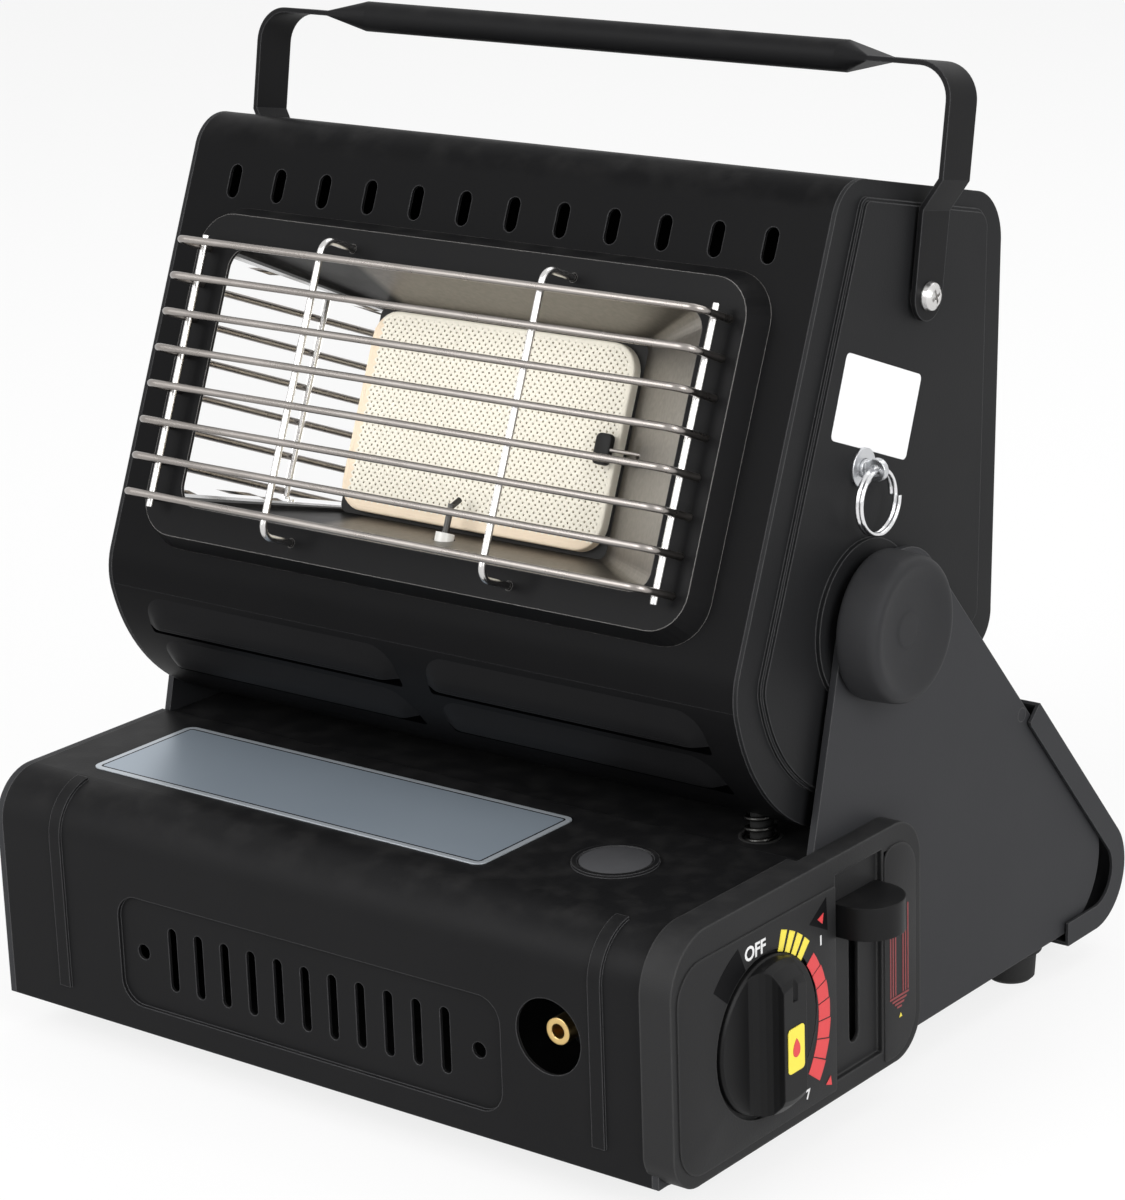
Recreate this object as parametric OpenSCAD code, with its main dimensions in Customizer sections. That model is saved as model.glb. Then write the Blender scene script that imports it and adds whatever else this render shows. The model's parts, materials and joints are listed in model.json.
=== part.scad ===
// Portable tabletop gas heater with a tilting radiant head, a cartridge bay and a carrying handle

/* [Base] */
// Width of the base between its side plates
base_width = 224; // [216:1:236]
// Height of the base top above the floor
base_height = 76; // [74:1:84]
// Height of the rubber feet
foot_height = 12; // [10:1:14]
// Radius of the rounded front edge of the base
front_radius = 14; // [8:1:18]
// Number of upright vent slots in the base front
vent_slots = 11; // [5:2:11]

/* [Sheet metal] */
// Thickness of the folded sheets
sheet = 1.0; // [0.8:0.1:1.3]
// Thickness of the side plates
side_sheet = 2.0; // [1.5:0.1:2.4]

/* [Head] */
// Lean of the radiant face from upright, in degrees
face_tilt = 22.6; // [18:0.2:26]
// Radius of the lower curve of the head about the tilt axis
head_radius = 55; // [53:0.5:57]
// Number of pierced slots above the bezel
top_slots = 12; // [6:2:12]

/* [Burner] */
// Width of the ceramic plaque that shows in the reflector
plaque_width = 90; // [80:1:98]
// Height of the ceramic plaque that shows in the reflector
plaque_height = 56; // [50:1:58]

/* [Guard] */
// Number of horizontal guard wires
rail_count = 8; // [6:1:8]
// Diameter of the guard wires
wire_d = 2.0; // [1.8:0.1:2.6]

/* [Handle] */
// Distance from the handle screws to the middle of the grip
handle_reach = 59; // [57:1:70]
// Diameter of the rolled grip
grip_d = 8.5; // [7:0.5:10]

/* [Controls] */
// Diameter of the gas knob
gas_knob_d = 42; // [36:1:44]
// Diameter of the two tilt knobs
tilt_knob_d = 40; // [34:1:42]
// Travel of the cartridge lock lever
lever_travel = 34; // [28:1:35]

/* [Hidden] */
$fn = 64;
running = 0.08;
seat_gap = 0.05;
eps = 0.01;

// Base
base_half = base_width / 2;
plate_out = base_half + side_sheet;
floor_z = foot_height;
shell_low = floor_z - sheet;
floor_top = floor_z + sheet;
base_top_depth = 68;
bay_rear = 190;
// Feet, as distances in from the side plate and back from the front
front_foot = [17, 24];
rear_foot = [9.5, bay_rear - 3.5];
roof_low = base_height - sheet;
roof_step = 10;

// Tilt axis and head
pivot_y = 99;
pivot_z = base_height + head_radius + 1;
head_half = base_half - 3.5;
pan_sheet = 1.2;
pan_rise = 1.8;
pan_rim = 9;
pan_lift = 4.5;
pan_step = 0.9;
boss_rise = 1.4;
wrap_half = head_half - pan_sheet;
pan_face = head_half + pan_rise;
boss_face = pan_face + boss_rise;
boss_r = 22;
face_out = 48.6;
plaque_out = 31;
plaque_up = 30.6;
lower_round = 20;
wrap_rear_low = pivot_z + 61;
wrap_front_end = pivot_y - 15;
rear_cover_front = pivot_y + 13;

// Bezel, reflector and burner
window_w = 161;
window_h = 73;
bezel_side = 12.5;
bezel_rail = 9;
bezel_flare = 3;
bezel_crest_w = window_w + 2 * bezel_side;
bezel_crest_h = window_h + 2 * bezel_rail;
bezel_w = bezel_crest_w + 2 * bezel_flare;
bezel_h = bezel_crest_h + 2 * bezel_flare;
bezel_up = plaque_up + 0.4;
bezel_rise = 6.8;
bezel_front = face_out + bezel_rise;
face_cut = 7.5;
mirror_sheet = 0.6;
mirror_flange = 2;
throat_out = plaque_out - 3;
throat_gap = 1;
plaque_lap = 2;
plaque_t = 13;
box_wall = 3;
box_deep = 30;
mixer_r = 10;
spark_x = 0;
spark_out = plaque_out + 7;
box_low = bezel_up - plaque_height / 2 - throat_gap - plaque_lap - box_wall;
spark_top = box_low + box_wall + plaque_lap - 1;
spark_r = 2.6;
spark_tab = 3;
spark_collar = 6;
sensor_r = 0.9;
sensor_out = plaque_out + 3;
sensor_up = bezel_up - 1;
mixer_up = plaque_up - 48;
mixer_out = plaque_out - 18;

// Guard wires
wire_r = wire_d / 2;
guard_half = 88.5;
guard_out = plaque_out + 39;
rail_pitch = 10.1;
rail_bend = 4;
rail_leg = guard_out - rail_bend - bezel_front;
end_bar_back = 10;
hook_x = 37.5;
hook_land = 4.1;
hook_half = window_h / 2 + hook_land;
hook_end = bezel_front - sheet - 2;

// Control panel, knob and lever
panel_front = -2.2;
panel_back = 110;
panel_wall = 2.0;
panel_face = plate_out + 6.6;
panel_top = base_height + 2.4;
panel_skirt = base_half - 1;
field_in = 8;
field_deep = 1;
knob_y = 38;
knob_z = floor_z + 29;
knob_rise = 9;
knob_skirt = 1.8;
knob_hole = 6;
stem_r = 4;
piezo_up = 8;
piezo_gap = 6;
lever_y = 80.5;
lever_z = base_height - 15.5;
lever_slot = 4.6;
channel_w = 22;
lever_stem = 4;
lever_pad_r = 10;
lever_pad_in = panel_face - field_deep - 0.4;
lever_pad_root = 4;
inlet_x = base_half - 31.4;
inlet_z = floor_z + 32.4;
inlet_r = 3.6;

// Cartridge bay
can_r = 33.5;
can_y = 160;
can_z = floor_z + 36;
socket_x = base_half - 28;
yoke_x = socket_x - 22;
socket_r = 9;

// Gas line
hose_x = base_half - 21;
hose_y = 79;
hose_r = 3.0;
hose_gap = 0.3;
coil_wire = 0.7;
coil_pitch = 3;
coil_steps = 8;
coil_reach = (hose_r + coil_wire + seat_gap) / cos(180 / coil_steps);
pipe_r = 2.5;
feed_x = socket_x + 16;
feed_boss = 22;
valve_boss = 20;
jet_at = face_point(mixer_up, mixer_out);
jet_r = 4;
jet_reach = 16;

// Handle
screw_y = pivot_y + 28;
screw_z = pivot_z + 80.4;
screw_r = 2;
handle_lean = 10;
strap_w = 13;
strap_t = 1.4;
washer_t = 1;
rub_gap = 0.1;
strap_in = pan_face + washer_t + rub_gap;
joggle = 5;
joggle_low = 22;
joggle_high = 30;
strap_corner = 10;
strap_flat = 16;
grip_taper = 10;

// Pull pin and ring
pin_y = pivot_y;
pin_z = pivot_z + 41;
pin_r = 2.4;
eye_x = pan_face + 4.6;
eye_r = 3;
eye_t = 1.8;
ring_r = 8.4;
ring_wire = 0.75;

// Tilt knob and stud
knob_in = plate_out + 0.6;
knob_depth = 12;
knob_bore = knob_depth - 4.4;
stud_r = 3;

// Cartridge lid
lid_line = 4.2;
hinge_in = 2.5;
hinge_climb = 56;
hinge_r = 2;
ear_x = base_half - 7;
ear_t = 2;
lid_top_gap = 3.6;
lid_lip_front = 197;
flap_gap = 0.5;
flap_w = 7;

// Corner arcs of the side plates, the lid and the head, as y, z and radius
bracket_arcs = [
    [69.2, floor_z + 13, 13],
    [196.5, floor_z + 20, 20],
    [pivot_y + 14, pivot_z - 1, 17.5],
    [pivot_y + 3, pivot_z, 17.5]
];
lid_arcs = [
    [150, floor_z + 13, 16.5],
    [212.5, floor_z + 13, 16.5],
    [pivot_y + 14, pivot_z - 1, 17.5 + lid_line]
];
head_arcs = [
    [pivot_y, pivot_z, head_radius],
    [pivot_y + 56, pivot_z - 14, 10],
    [pivot_y + 55.5, pivot_z + 87.5, 15],
    face_arc(95.8, 12),
    face_arc(-sqrt(pow(head_radius - lower_round, 2) - pow(face_out - lower_round, 2)), lower_round)
];
// The drawn pan of a head end keeps a rim that is narrower along the top
pan_arcs = [
    head_arcs[0],
    [pivot_y + 53, pivot_z - 11, 13],
    head_arcs[2] + [0, pan_lift, 0],
    head_arcs[3] + pan_lift * [sin(face_tilt), cos(face_tilt), 0],
    head_arcs[4]
];
panel_arcs = [
    [panel_front + 10, shell_low + 10, 10],
    [panel_back - 12, shell_low + 12, 12],
    [panel_back - 12, panel_top - 12, 12],
    [panel_front + front_radius + 2, panel_top - front_radius - 2, front_radius + 2]
];

// Lid hinge, just inside the sloping edge of the side plates
slope_normal = tangent_normal(bracket_arcs[1], bracket_arcs[2]);
slope_up = [-slope_normal[1], slope_normal[0]];
slope_foot = [bracket_arcs[1][0], bracket_arcs[1][1]] + slope_normal * bracket_arcs[1][2];
hinge = slope_foot + slope_up * hinge_climb - slope_normal * hinge_in;

// The model is centred on its own box
x_low = -(knob_in + knob_depth);
x_high = max(panel_face + knob_rise, lever_pad_in + lever_pad_root + lever_pad_r);
y_high = lid_arcs[1][0] + lid_arcs[1][2];
centre = [-(x_low + x_high) / 2, -(panel_front + y_high) / 2, 0];

// Point in the side view from its distances up and out along the radiant face, taken from the tilt axis
function face_point(up, out) = [
    pivot_y + up * sin(face_tilt) - out * cos(face_tilt),
    pivot_z + up * cos(face_tilt) + out * sin(face_tilt)
];
function face_arc(up, radius) = concat(face_point(up, face_out - radius), radius);

// Outward normal of the straight side between two corner arcs
function tangent_normal(a, b) =
    let (
        step = [b[0] - a[0], b[1] - a[1]],
        along = step / norm(step),
        lean = max(-1, min(1, (a[2] - b[2]) / norm(step)))
    )
    along * lean + [along[1], -along[0]] * sqrt(1 - lean * lean);

// Direction of a route at one of its points
function heading(points, i) =
    let (step = points[min(i + 1, len(points) - 1)] - points[max(i - 1, 0)])
    step / norm(step);

// Ring of points round a route, turned to a side that the route never follows
function ring(middle, way, side, radius, sides) =
    let (
        u = cross(way, side) / norm(cross(way, side)),
        v = cross(way, u)
    )
    [for (k = [0:sides - 1]) middle + radius * (u * cos(360 * k / sides) + v * sin(360 * k / sides))];

// Tube of one unbroken skin along a list of points
module swept_tube(points, radius, sides, side = [1, 0, 0]) {
    n = len(points);
    skin = [for (i = [0:n - 1]) each ring(points[i], heading(points, i), side, radius, sides)];
    walls = [for (i = [0:n - 2], k = [0:sides - 1], half = [0, 1])
        let (a = i * sides + k, b = i * sides + (k + 1) % sides)
        half == 0 ? [a, b, b + sides] : [a, b + sides, a + sides]];
    first = [for (k = [0:sides - 1]) sides - 1 - k];
    last = [for (k = [0:sides - 1]) (n - 1) * sides + k];
    polyhedron(skin, concat(walls, [first, last]), convexity = 10);
}

// Outline of straight sides between corner arcs listed anticlockwise, drawn in by inset
module arc_outline(arcs, inset = 0) {
    n = len(arcs);
    normals = [for (i = [0:n - 1]) tangent_normal(arcs[i], arcs[(i + 1) % n])];
    polygon([for (i = [0:n - 1], k = [0, 1])
        [arcs[i][0], arcs[i][1]] + normals[(i + n - 1 + k) % n] * (arcs[i][2] - inset)]);
    for (i = [0:n - 1])
        let (
            r = arcs[i][2] - inset,
            proud = min(0.05, 0.005 + 0.4 / r)
        )
        intersection() {
            translate([arcs[i][0], arcs[i][1]]) circle(r = r + proud);
            corner_sector(
                [arcs[i][0], arcs[i][1]], normals[(i + n - 1) % n], normals[i], 2 * r,
                1.25 * acos(r / (r + proud))
            );
        }
}

// Wedge from a corner's middle between the normals of its two straight sides, with a lap past each
module corner_sector(middle, normal_in, normal_out, reach, lap) {
    steps = 6;
    start = atan2(normal_in[1], normal_in[0]) - lap;
    turn = (atan2(normal_out[1], normal_out[0]) + lap - start + 720) % 360;
    polygon(concat([middle], [for (k = [0:steps])
        middle + reach * [cos(start + turn * k / steps), sin(start + turn * k / steps)]]));
}

module round_rect(w, h, r) {
    square([w - 2 * r, h], center = true);
    square([w, h - 2 * r], center = true);
    for (x = [-1, 1], y = [-1, 1]) translate([x * (w / 2 - r), y * (h / 2 - r)]) circle(r = r);
}

module slot_2d(w, h) {
    square([w, h - w], center = true);
    for (end = [-1, 1]) translate([0, end * (h - w) / 2]) circle(d = w);
}

// Side view outline extruded across the object
module across(x0, x1) {
    translate([x0, 0, 0]) rotate([90, 0, 90]) linear_extrude(height = x1 - x0) children();
}

// Front view outline extruded from front to back
module from_front(y0, y1) {
    translate([0, y1, 0]) rotate([90, 0, 0]) linear_extrude(height = y1 - y0) children();
}

// Rod across the object at a place in the side view
module x_rod(y, z, r, x0, x1) {
    translate([x0, y, z]) rotate([0, 90, 0]) cylinder(r = r, h = x1 - x0);
}

// Frame with its origin on the tilt axis, Z up the radiant face and -Y out of it
module face_frame() {
    translate([0, pivot_y, pivot_z]) rotate([-face_tilt, 0, 0]) children();
}

// Outline drawn on the radiant face, between two distances out from the tilt axis
module on_face(out0, out1, up = plaque_up) {
    face_frame() translate([0, -out0, up]) rotate([90, 0, 0]) linear_extrude(height = out1 - out0) children();
}

// Loft between two rounded rectangles on planes of the radiant face
module face_loft(out0, size0, r0, out1, size1, r1, up) {
    hull() {
        on_face(out0, out0 + eps, up) round_rect(size0[0], size0[1], r0, $fn = 32);
        on_face(out1 - eps, out1, up) round_rect(size1[0], size1[1], r1, $fn = 32);
    }
}

module mirrored(side) {
    mirror([side < 0 ? 1 : 0, 0, 0]) children();
}

module base_outline(inset = 0) {
    r = front_radius - inset;
    top = base_height - inset;
    translate([inset + r, shell_low]) square([base_top_depth - inset - r, top - shell_low]);
    translate([inset, shell_low]) square([r, top - r - shell_low]);
    translate([inset + r, top - r]) circle(r = r);
}

// Hollow behind the folded front sheet, open at the back and below
module base_hollow() {
    r = front_radius - sheet;
    top = base_height - sheet;
    low = shell_low - 1;
    translate([sheet + r, low]) square([base_top_depth, top - low]);
    translate([sheet, low]) square([r, top - r - low]);
    translate([sheet + r, top - r]) circle(r = r);
}

module base_shell() {
    vent_pitch = 9.58;
    vent_at = [-2, 0, floor_z + 22.5];
    pan = [134, 32];
    pan_deep = 1.2;
    last = (vent_slots - 1) / 2;
    color("#1c1c1e") difference() {
        union() {
            across(-base_half, base_half) difference() {
                base_outline();
                base_hollow();
            }
            translate([-base_half, 0, shell_low]) cube([base_width, 10, sheet]);
            for (x = [-91, 96]) across(x - 2, x + 2) base_bead();
            translate(vent_at) from_front(sheet / 2, pan_deep + sheet) round_rect(pan[0] + 2, pan[1] + 2, 8);
            translate([base_half - 40, 41, base_height - sheet / 2]) cylinder(r = 11.5, h = sheet / 2 + 0.8);
        }
        translate(vent_at) from_front(-1, pan_deep) round_rect(pan[0], pan[1], 7);
        translate([base_half - 40, 41, base_height + 0.4]) cylinder(r = 10, h = 1);
        for (i = [-last:last]) translate(vent_at + [i * vent_pitch, 0, 0]) from_front(-1, 5) slot_2d(3.2, 18.5);
        for (side = [-1, 1]) translate(vent_at + [side * (last + 1.16) * vent_pitch, 0, 0])
            from_front(-1, 5) circle(d = 4.4);
        translate([inlet_x, 0, inlet_z]) from_front(-1, 5) circle(d = 20.5);
    }
}

// Stiffening bead that runs up the front sheet and ends on its rounded edge
module base_bead() {
    rise = 0.8;
    intersection() {
        difference() {
            base_outline(-rise);
            base_outline(sheet / 2);
        }
        translate([-2 * rise, floor_z + 6]) square([2 * rise + front_radius - 2, base_height]);
    }
}

module base_floor() {
    color("#1c1c1e") difference() {
        translate([-base_half, sheet, floor_z]) cube([base_width, bay_rear - sheet, sheet]);
        for (i = [-4:4]) translate([i * 18, 100, floor_z - 1]) linear_extrude(height = 5) slot_2d(5, 36);
    }
}

module bracket_outline(inset = 0) {
    arc_outline(bracket_arcs, inset);
    base_outline(inset);
    translate([base_top_depth - 10, floor_z]) square([30, base_height - floor_z - 2]);
}

module side_plate(side) {
    flange = base_half - ear_x - ear_t / 2 - 1;
    mirrored(side) difference() {
        union() {
            across(base_half, plate_out) bracket_outline();
            across(base_half - flange, base_half) intersection() {
                difference() {
                    arc_outline(bracket_arcs);
                    arc_outline(bracket_arcs, sheet);
                }
                translate([hinge[0] + 9, floor_z + 12]) square([60, hinge[1]]);
            }
        }
        x_rod(pivot_y, pivot_z, stud_r + running, base_half - 1, plate_out + 1);
        x_rod(hinge[0], hinge[1], hinge_r, base_half - 1, plate_out + 1);
    }
}

module side_plate_left() color("#202022") side_plate(-1);

module side_plate_right() {
    color("#202022") difference() {
        side_plate(1);
        x_rod(knob_y, knob_z, stem_r + 1, base_half - 1, plate_out + 1);
        across(base_half - 1, plate_out + 1) translate([lever_y, lever_z - lever_travel / 2])
            slot_2d(lever_slot + 2, lever_travel + lever_slot + 4);
    }
}

// Heat shield over the cartridge, folded up behind the head
module bay_roof() {
    lap = 8;
    front = base_top_depth - lap;
    rise_at = pivot_y + 31;
    rise_run = 11;
    bend = 0.6;
    rear = hinge[0] - 1;
    path = [
        [front, roof_low], [rise_at, roof_low], [rise_at + rise_run, roof_low + roof_step],
        [rear, roof_low + roof_step], [rear, roof_low + roof_step - sheet],
        [rise_at + rise_run + bend, roof_low + roof_step - sheet], [rise_at + bend, roof_low - sheet],
        [front, roof_low - sheet]
    ];
    notch_in = ear_x - ear_t / 2 - 3;
    notch_deep = 9;
    color("#18181a") difference() {
        across(-base_half, base_half) polygon(path);
        translate([hose_x, hose_y, roof_low - 5]) cylinder(r = hose_r + 3, h = 10);
        for (side = [-1, 1]) mirrored(side) translate([notch_in, rear - notch_deep, roof_low])
            cube([base_half - notch_in + 1, notch_deep + 1, roof_step + 4]);
    }
}

module panel_cut(inset, x0, x1) {
    across(x0, x1) arc_outline(panel_arcs, inset);
}

module control_panel() {
    skirt_w = plate_out - panel_skirt;
    color("#232325") difference() {
        panel_cut(0, panel_skirt, panel_face);
        panel_cut(panel_wall, panel_skirt - 1, panel_face - panel_wall - field_deep);
        // Room for the side plate and the folded sheet behind the skirt
        translate([panel_skirt - 1, base_top_depth - 6, 0]) cube([skirt_w + 1, 60, 90]);
        translate([panel_skirt - 1, panel_front - 1, 0]) cube([skirt_w + 1, 90, floor_top + 0.2]);
        across(panel_skirt - 1, plate_out) base_outline(-0.2);
        // Flat field for the scale, the lever channel and the holes
        intersection() {
            panel_cut(field_in, panel_face - field_deep, panel_face + 1);
            translate([0, panel_front, 0]) cube([200, lever_y - channel_w / 2 - 0.8 - panel_front, 90]);
        }
        intersection() {
            panel_cut(field_in - 2, panel_face - field_deep, panel_face + 1);
            translate([0, lever_y + channel_w / 2 + 0.8, 0]) cube([200, 40, 90]);
        }
        intersection() {
            panel_cut(field_in - 3, panel_face - field_deep - 0.8, panel_face + 1);
            translate([0, lever_y - channel_w / 2, 0]) cube([200, channel_w, 90]);
        }
        across(plate_out, panel_face + 1) translate([lever_y, lever_z - lever_travel / 2])
            slot_2d(lever_slot, lever_travel + lever_slot + 3);
        x_rod(knob_y, knob_z, stem_r + 1, plate_out, panel_face + 1);
    }
}

module gas_valve() {
    color("#b9bcc0") difference() {
        union() {
            x_rod(knob_y, knob_z, 16, base_half - 42, base_half - 8);
            x_rod(knob_y, knob_z, 19, base_half - 8, base_half - 4);
            across(base_half - 4, base_half) translate([knob_y, knob_z]) round_rect(44, 36, 5);
            translate([inlet_x, knob_y, inlet_z]) rotate([90, 0, 0]) cylinder(r = 6.5, h = valve_boss);
            translate([hose_x, knob_y, knob_z]) rotate([-90, 0, 0]) cylinder(r = 6, h = valve_boss);
            translate([feed_x, knob_y, knob_z - 9]) rotate([-90, 0, 0]) cylinder(r = 4, h = valve_boss);
        }
        x_rod(knob_y, knob_z, stem_r + running, base_half - 16, base_half + 1);
    }
}

module gas_inlet() {
    root = knob_y - valve_boss;
    color("#c9a24a") translate([inlet_x, root, inlet_z]) rotate([90, 0, 0]) difference() {
        union() {
            cylinder(r = inlet_r, h = root - 4);
            cylinder(r = 5.5, h = 4, $fn = 6);
        }
        translate([0, 0, 2]) cylinder(r = 2, h = root);
    }
}

module piezo_igniter() {
    low = knob_z + piezo_up;
    color("#2a2a2c") difference() {
        translate([base_half - 26, knob_y - 9, low]) cube([20, 18, roof_low - piezo_gap - low]);
        x_rod(knob_y, knob_z, 16, base_half - 60, base_half - 8);
        x_rod(knob_y, knob_z, 19, base_half - 8, base_half);
    }
}

module cartridge_socket() {
    color("#b9bcc0") difference() {
        union() {
            x_rod(can_y, can_z, 14, socket_x + 6, base_half);
            x_rod(can_y, can_z, socket_r + 3, socket_x, socket_x + 7);
            translate([feed_x, can_y, can_z]) rotate([90, 0, 0]) cylinder(r = 6, h = feed_boss);
        }
        x_rod(can_y, can_z, socket_r, socket_x - 1, socket_x + 10);
        x_rod(can_y, can_z, 2, socket_x, socket_x + 18);
    }
}

// Two long saddles that keep the cartridge from rolling
module cartridge_cradle() {
    color("#2a2a2c") across(-base_half + 10, yoke_x - 12) difference() {
        for (side = [-1, 1]) translate([can_y + side * 15 - 4, floor_top]) square([8, 8]);
        translate([can_y, can_z]) circle(r = can_r + 0.5);
    }
}

module inlet_pipe() {
    x = feed_x;
    low = floor_z + 14;
    rear = can_y - feed_boss;
    front = knob_y + valve_boss;
    route = [
        [x, rear, can_z], [x, rear - 5, can_z], [x, rear - 10, can_z - 4], [x, rear - 18, low + 4],
        [x, rear - 28, low], [x, front + 20, low], [x, front + 12, low + 2], [x, front + 6, knob_z - 9],
        [x, front, knob_z - 9]
    ];
    color("#b87333") swept_tube(route, pipe_r, 10);
}

module outlet_pipe() {
    route = [
        [hose_x, knob_y + valve_boss, knob_z], [hose_x, knob_y + valve_boss + 6, knob_z],
        [hose_x, hose_y - 8, knob_z + 3], [hose_x, hose_y - 2, knob_z + 9], [hose_x, hose_y, knob_z + 17],
        [hose_x, hose_y, roof_low - 6]
    ];
    color("#b87333") swept_tube(route, pipe_r, 10);
}

module hose_grommet() {
    color("#151516") translate([hose_x, hose_y, roof_low - sheet]) difference() {
        union() {
            translate([0, 0, -1.5]) cylinder(r = hose_r + 4.5, h = 1.5);
            translate([0, 0, -1.5]) cylinder(r = hose_r + 3 - seat_gap, h = sheet + 1.7);
        }
        translate([0, 0, -3]) cylinder(r = coil_reach + coil_wire + hose_gap, h = 10);
    }
}

module foot(side, at) {
    color("#121213") translate([side * (base_half - at[0]), at[1], 0]) rotate_extrude() polygon([
        [0, 0], [6, 0], [7, 1], [7.5, foot_height - 4], [9, foot_height - 3], [9, foot_height], [0, foot_height]
    ]);
}

module foot_front_left() foot(-1, front_foot);
module foot_front_right() foot(1, front_foot);
module foot_rear_left() foot(-1, rear_foot);
module foot_rear_right() foot(1, rear_foot);

module lid_pin(side) {
    color("#b9bcc0") mirrored(side) {
        x_rod(hinge[0], hinge[1], hinge_r, ear_x - ear_t - 1, plate_out);
        x_rod(hinge[0], hinge[1], hinge_r + 1, base_half - 1.5, base_half);
    }
}

module lid_pin_left() lid_pin(-1);
module lid_pin_right() lid_pin(1);

// Part of the side view that the lid covers: below its hinge on the slope and behind its lip
module lid_zone() {
    top = hinge - slope_up * lid_top_gap;
    far = 200;
    polygon([
        top + slope_normal * far, top, [lid_lip_front, floor_z + 15], [lid_lip_front, -far], [far * 2, -far]
    ]);
}

module rear_lid() {
    ear_foot = hinge + slope_normal * (hinge_in + lid_line - sheet / 2);
    color("#1c1c1e") {
        across(-plate_out, plate_out) intersection() {
            difference() {
                arc_outline(lid_arcs);
                arc_outline(lid_arcs, sheet);
            }
            lid_zone();
        }
        for (side = [-1, 1]) mirrored(side) {
            across(plate_out, plate_out + flap_gap + sheet) intersection() {
                difference() {
                    arc_outline(lid_arcs);
                    arc_outline(lid_arcs, sheet);
                }
                lid_zone();
            }
            across(plate_out + flap_gap, plate_out + flap_gap + sheet) intersection() {
                difference() {
                    arc_outline(lid_arcs);
                    arc_outline(lid_arcs, flap_w);
                }
                lid_zone();
            }
            across(ear_x - ear_t / 2, ear_x + ear_t / 2) difference() {
                union() {
                    translate(hinge) circle(r = 4.5);
                    polygon([
                        hinge - slope_normal * 3 - slope_up * 2, hinge + slope_normal * 3 - slope_up * 1,
                        ear_foot - slope_up * (lid_top_gap + 1), ear_foot - slope_up * 18
                    ]);
                }
                translate(hinge) circle(r = hinge_r + running);
            }
        }
    }
}

module gas_knob() {
    face = panel_face - field_deep + 0.4;
    top = panel_face + knob_rise - face;
    r = gas_knob_d / 2;
    bar_half = 5;
    scoop = 6.5;
    sink = 0.4;
    side_line = [for (turn = [270:-15:180])
        [bar_half + scoop * (1 + cos(turn)), knob_skirt - sink + scoop * (1 + sin(turn))]];
    far_line = [for (i = [len(side_line) - 1:-1:0]) [-side_line[i][0], side_line[i][1]]];
    color("#151516") translate([face, knob_y, knob_z]) rotate([0, 90, 0]) difference() {
        union() {
            rotate_extrude() polygon([
                [0, 0], [r, 0], [r, knob_skirt - 0.6], [r - 0.6, knob_skirt], [0, knob_skirt]
            ]);
            // Finger bar that sweeps down to the skirt on both sides
            intersection() {
                rotate_extrude() polygon([
                    [0, 0.5], [r - 0.4, 0.5], [r - 0.4, knob_skirt + 2.4], [r - 1.4, knob_skirt + 4.4],
                    [r - 4, top - 0.8], [r - 5.6, top], [0, top]
                ]);
                translate([-r - 1, 0, 0]) rotate([90, 0, 90]) linear_extrude(height = 2 * r + 2) polygon(concat(
                    side_line, [[bar_half, top + 1], [-bar_half, top + 1]], far_line
                ));
            }
        }
        translate([0, 0, -1]) cylinder(r = stem_r + seat_gap, h = knob_hole + 1);
        // Pointer groove at the top of the bar
        translate([-r, 0, top + 0.5]) rotate([0, 90, 0]) cylinder(r = 1.2, h = 10);
    }
}

module knob_stem() {
    color("#b9bcc0") x_rod(knob_y, knob_z, stem_r, base_half - 14, panel_face - field_deep + knob_hole);
}

module lock_lever() {
    pad_t = 9;
    pad_r = lever_pad_r;
    root = lever_pad_root;
    block_x = base_half - 0.4;
    color("#151516") {
        translate([lever_pad_in, lever_y, lever_z - pad_t / 2]) intersection() {
            union() {
                translate([root, 0, 0]) cylinder(r = pad_r, h = pad_t);
                translate([0, -pad_r, 0]) cube([root, 2 * pad_r, pad_t]);
            }
            translate([0, -pad_r, 0]) cube([3 * pad_r, 2 * pad_r, pad_t]);
        }
        translate([block_x - 1, lever_y - lever_stem / 2, lever_z - 2])
            cube([lever_pad_in - block_x + 2, lever_stem, 4]);
        translate([block_x - 6, lever_y - 6, lever_z - 6]) cube([6, 12, 12]);
    }
}

module cartridge_yoke() {
    collar_r = 18;
    color("#b9bcc0") across(yoke_x, yoke_x + 2) difference() {
        arc_outline([
            [can_y - 18, floor_top + 4.2, 4], [can_y + 18, floor_top + 4.2, 4],
            [can_y + 16, can_z + 8, 12], [can_y - 16, can_z + 8, 12]
        ]);
        translate([can_y, can_z]) circle(r = collar_r);
        translate([can_y - collar_r, can_z]) square([2 * collar_r, 60]);
    }
}

// Rubber hose between the base and the head, with a wire coil wound round it
function hose_y_at(t) = hose_y + (jet_at[0] - hose_y) * (1 - cos(180 * t)) / 2;
hose_low = roof_low - 6;
hose_high = jet_at[1] - 9;
function hose_point(t) = [hose_x, hose_y_at(t), hose_low + (hose_high - hose_low) * t];

module gas_hose() {
    rings = 12;
    color("#101011") swept_tube([for (i = [0:rings]) hose_point(i / rings)], hose_r, 12);
}

module hose_coil() {
    turns = floor((hose_high - hose_low - 6) / coil_pitch);
    length = hose_high - hose_low;
    coil = [for (i = [0:turns * coil_steps])
        let (
            t = (3 + i * coil_pitch / coil_steps) / length,
            angle = 360 * i / coil_steps
        )
        hose_point(t) + coil_reach * [cos(angle), sin(angle), 0]];
    last = len(coil) - 1;
    spans = [for (i = [0:last - coil_steps], j = [i + coil_steps / 2:min(i + 2 * coil_steps, last)])
        norm(coil[i] - coil[j])];
    echo(least_gap_of_coil_turns = min(spans) - 2 * coil_wire);
    color("#6d6f73") swept_tube(coil, coil_wire, 6, [0, 0, 1]);
}

module head_ring(inset, thick) {
    difference() {
        arc_outline(head_arcs, inset);
        arc_outline(head_arcs, inset + thick);
    }
}

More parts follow.
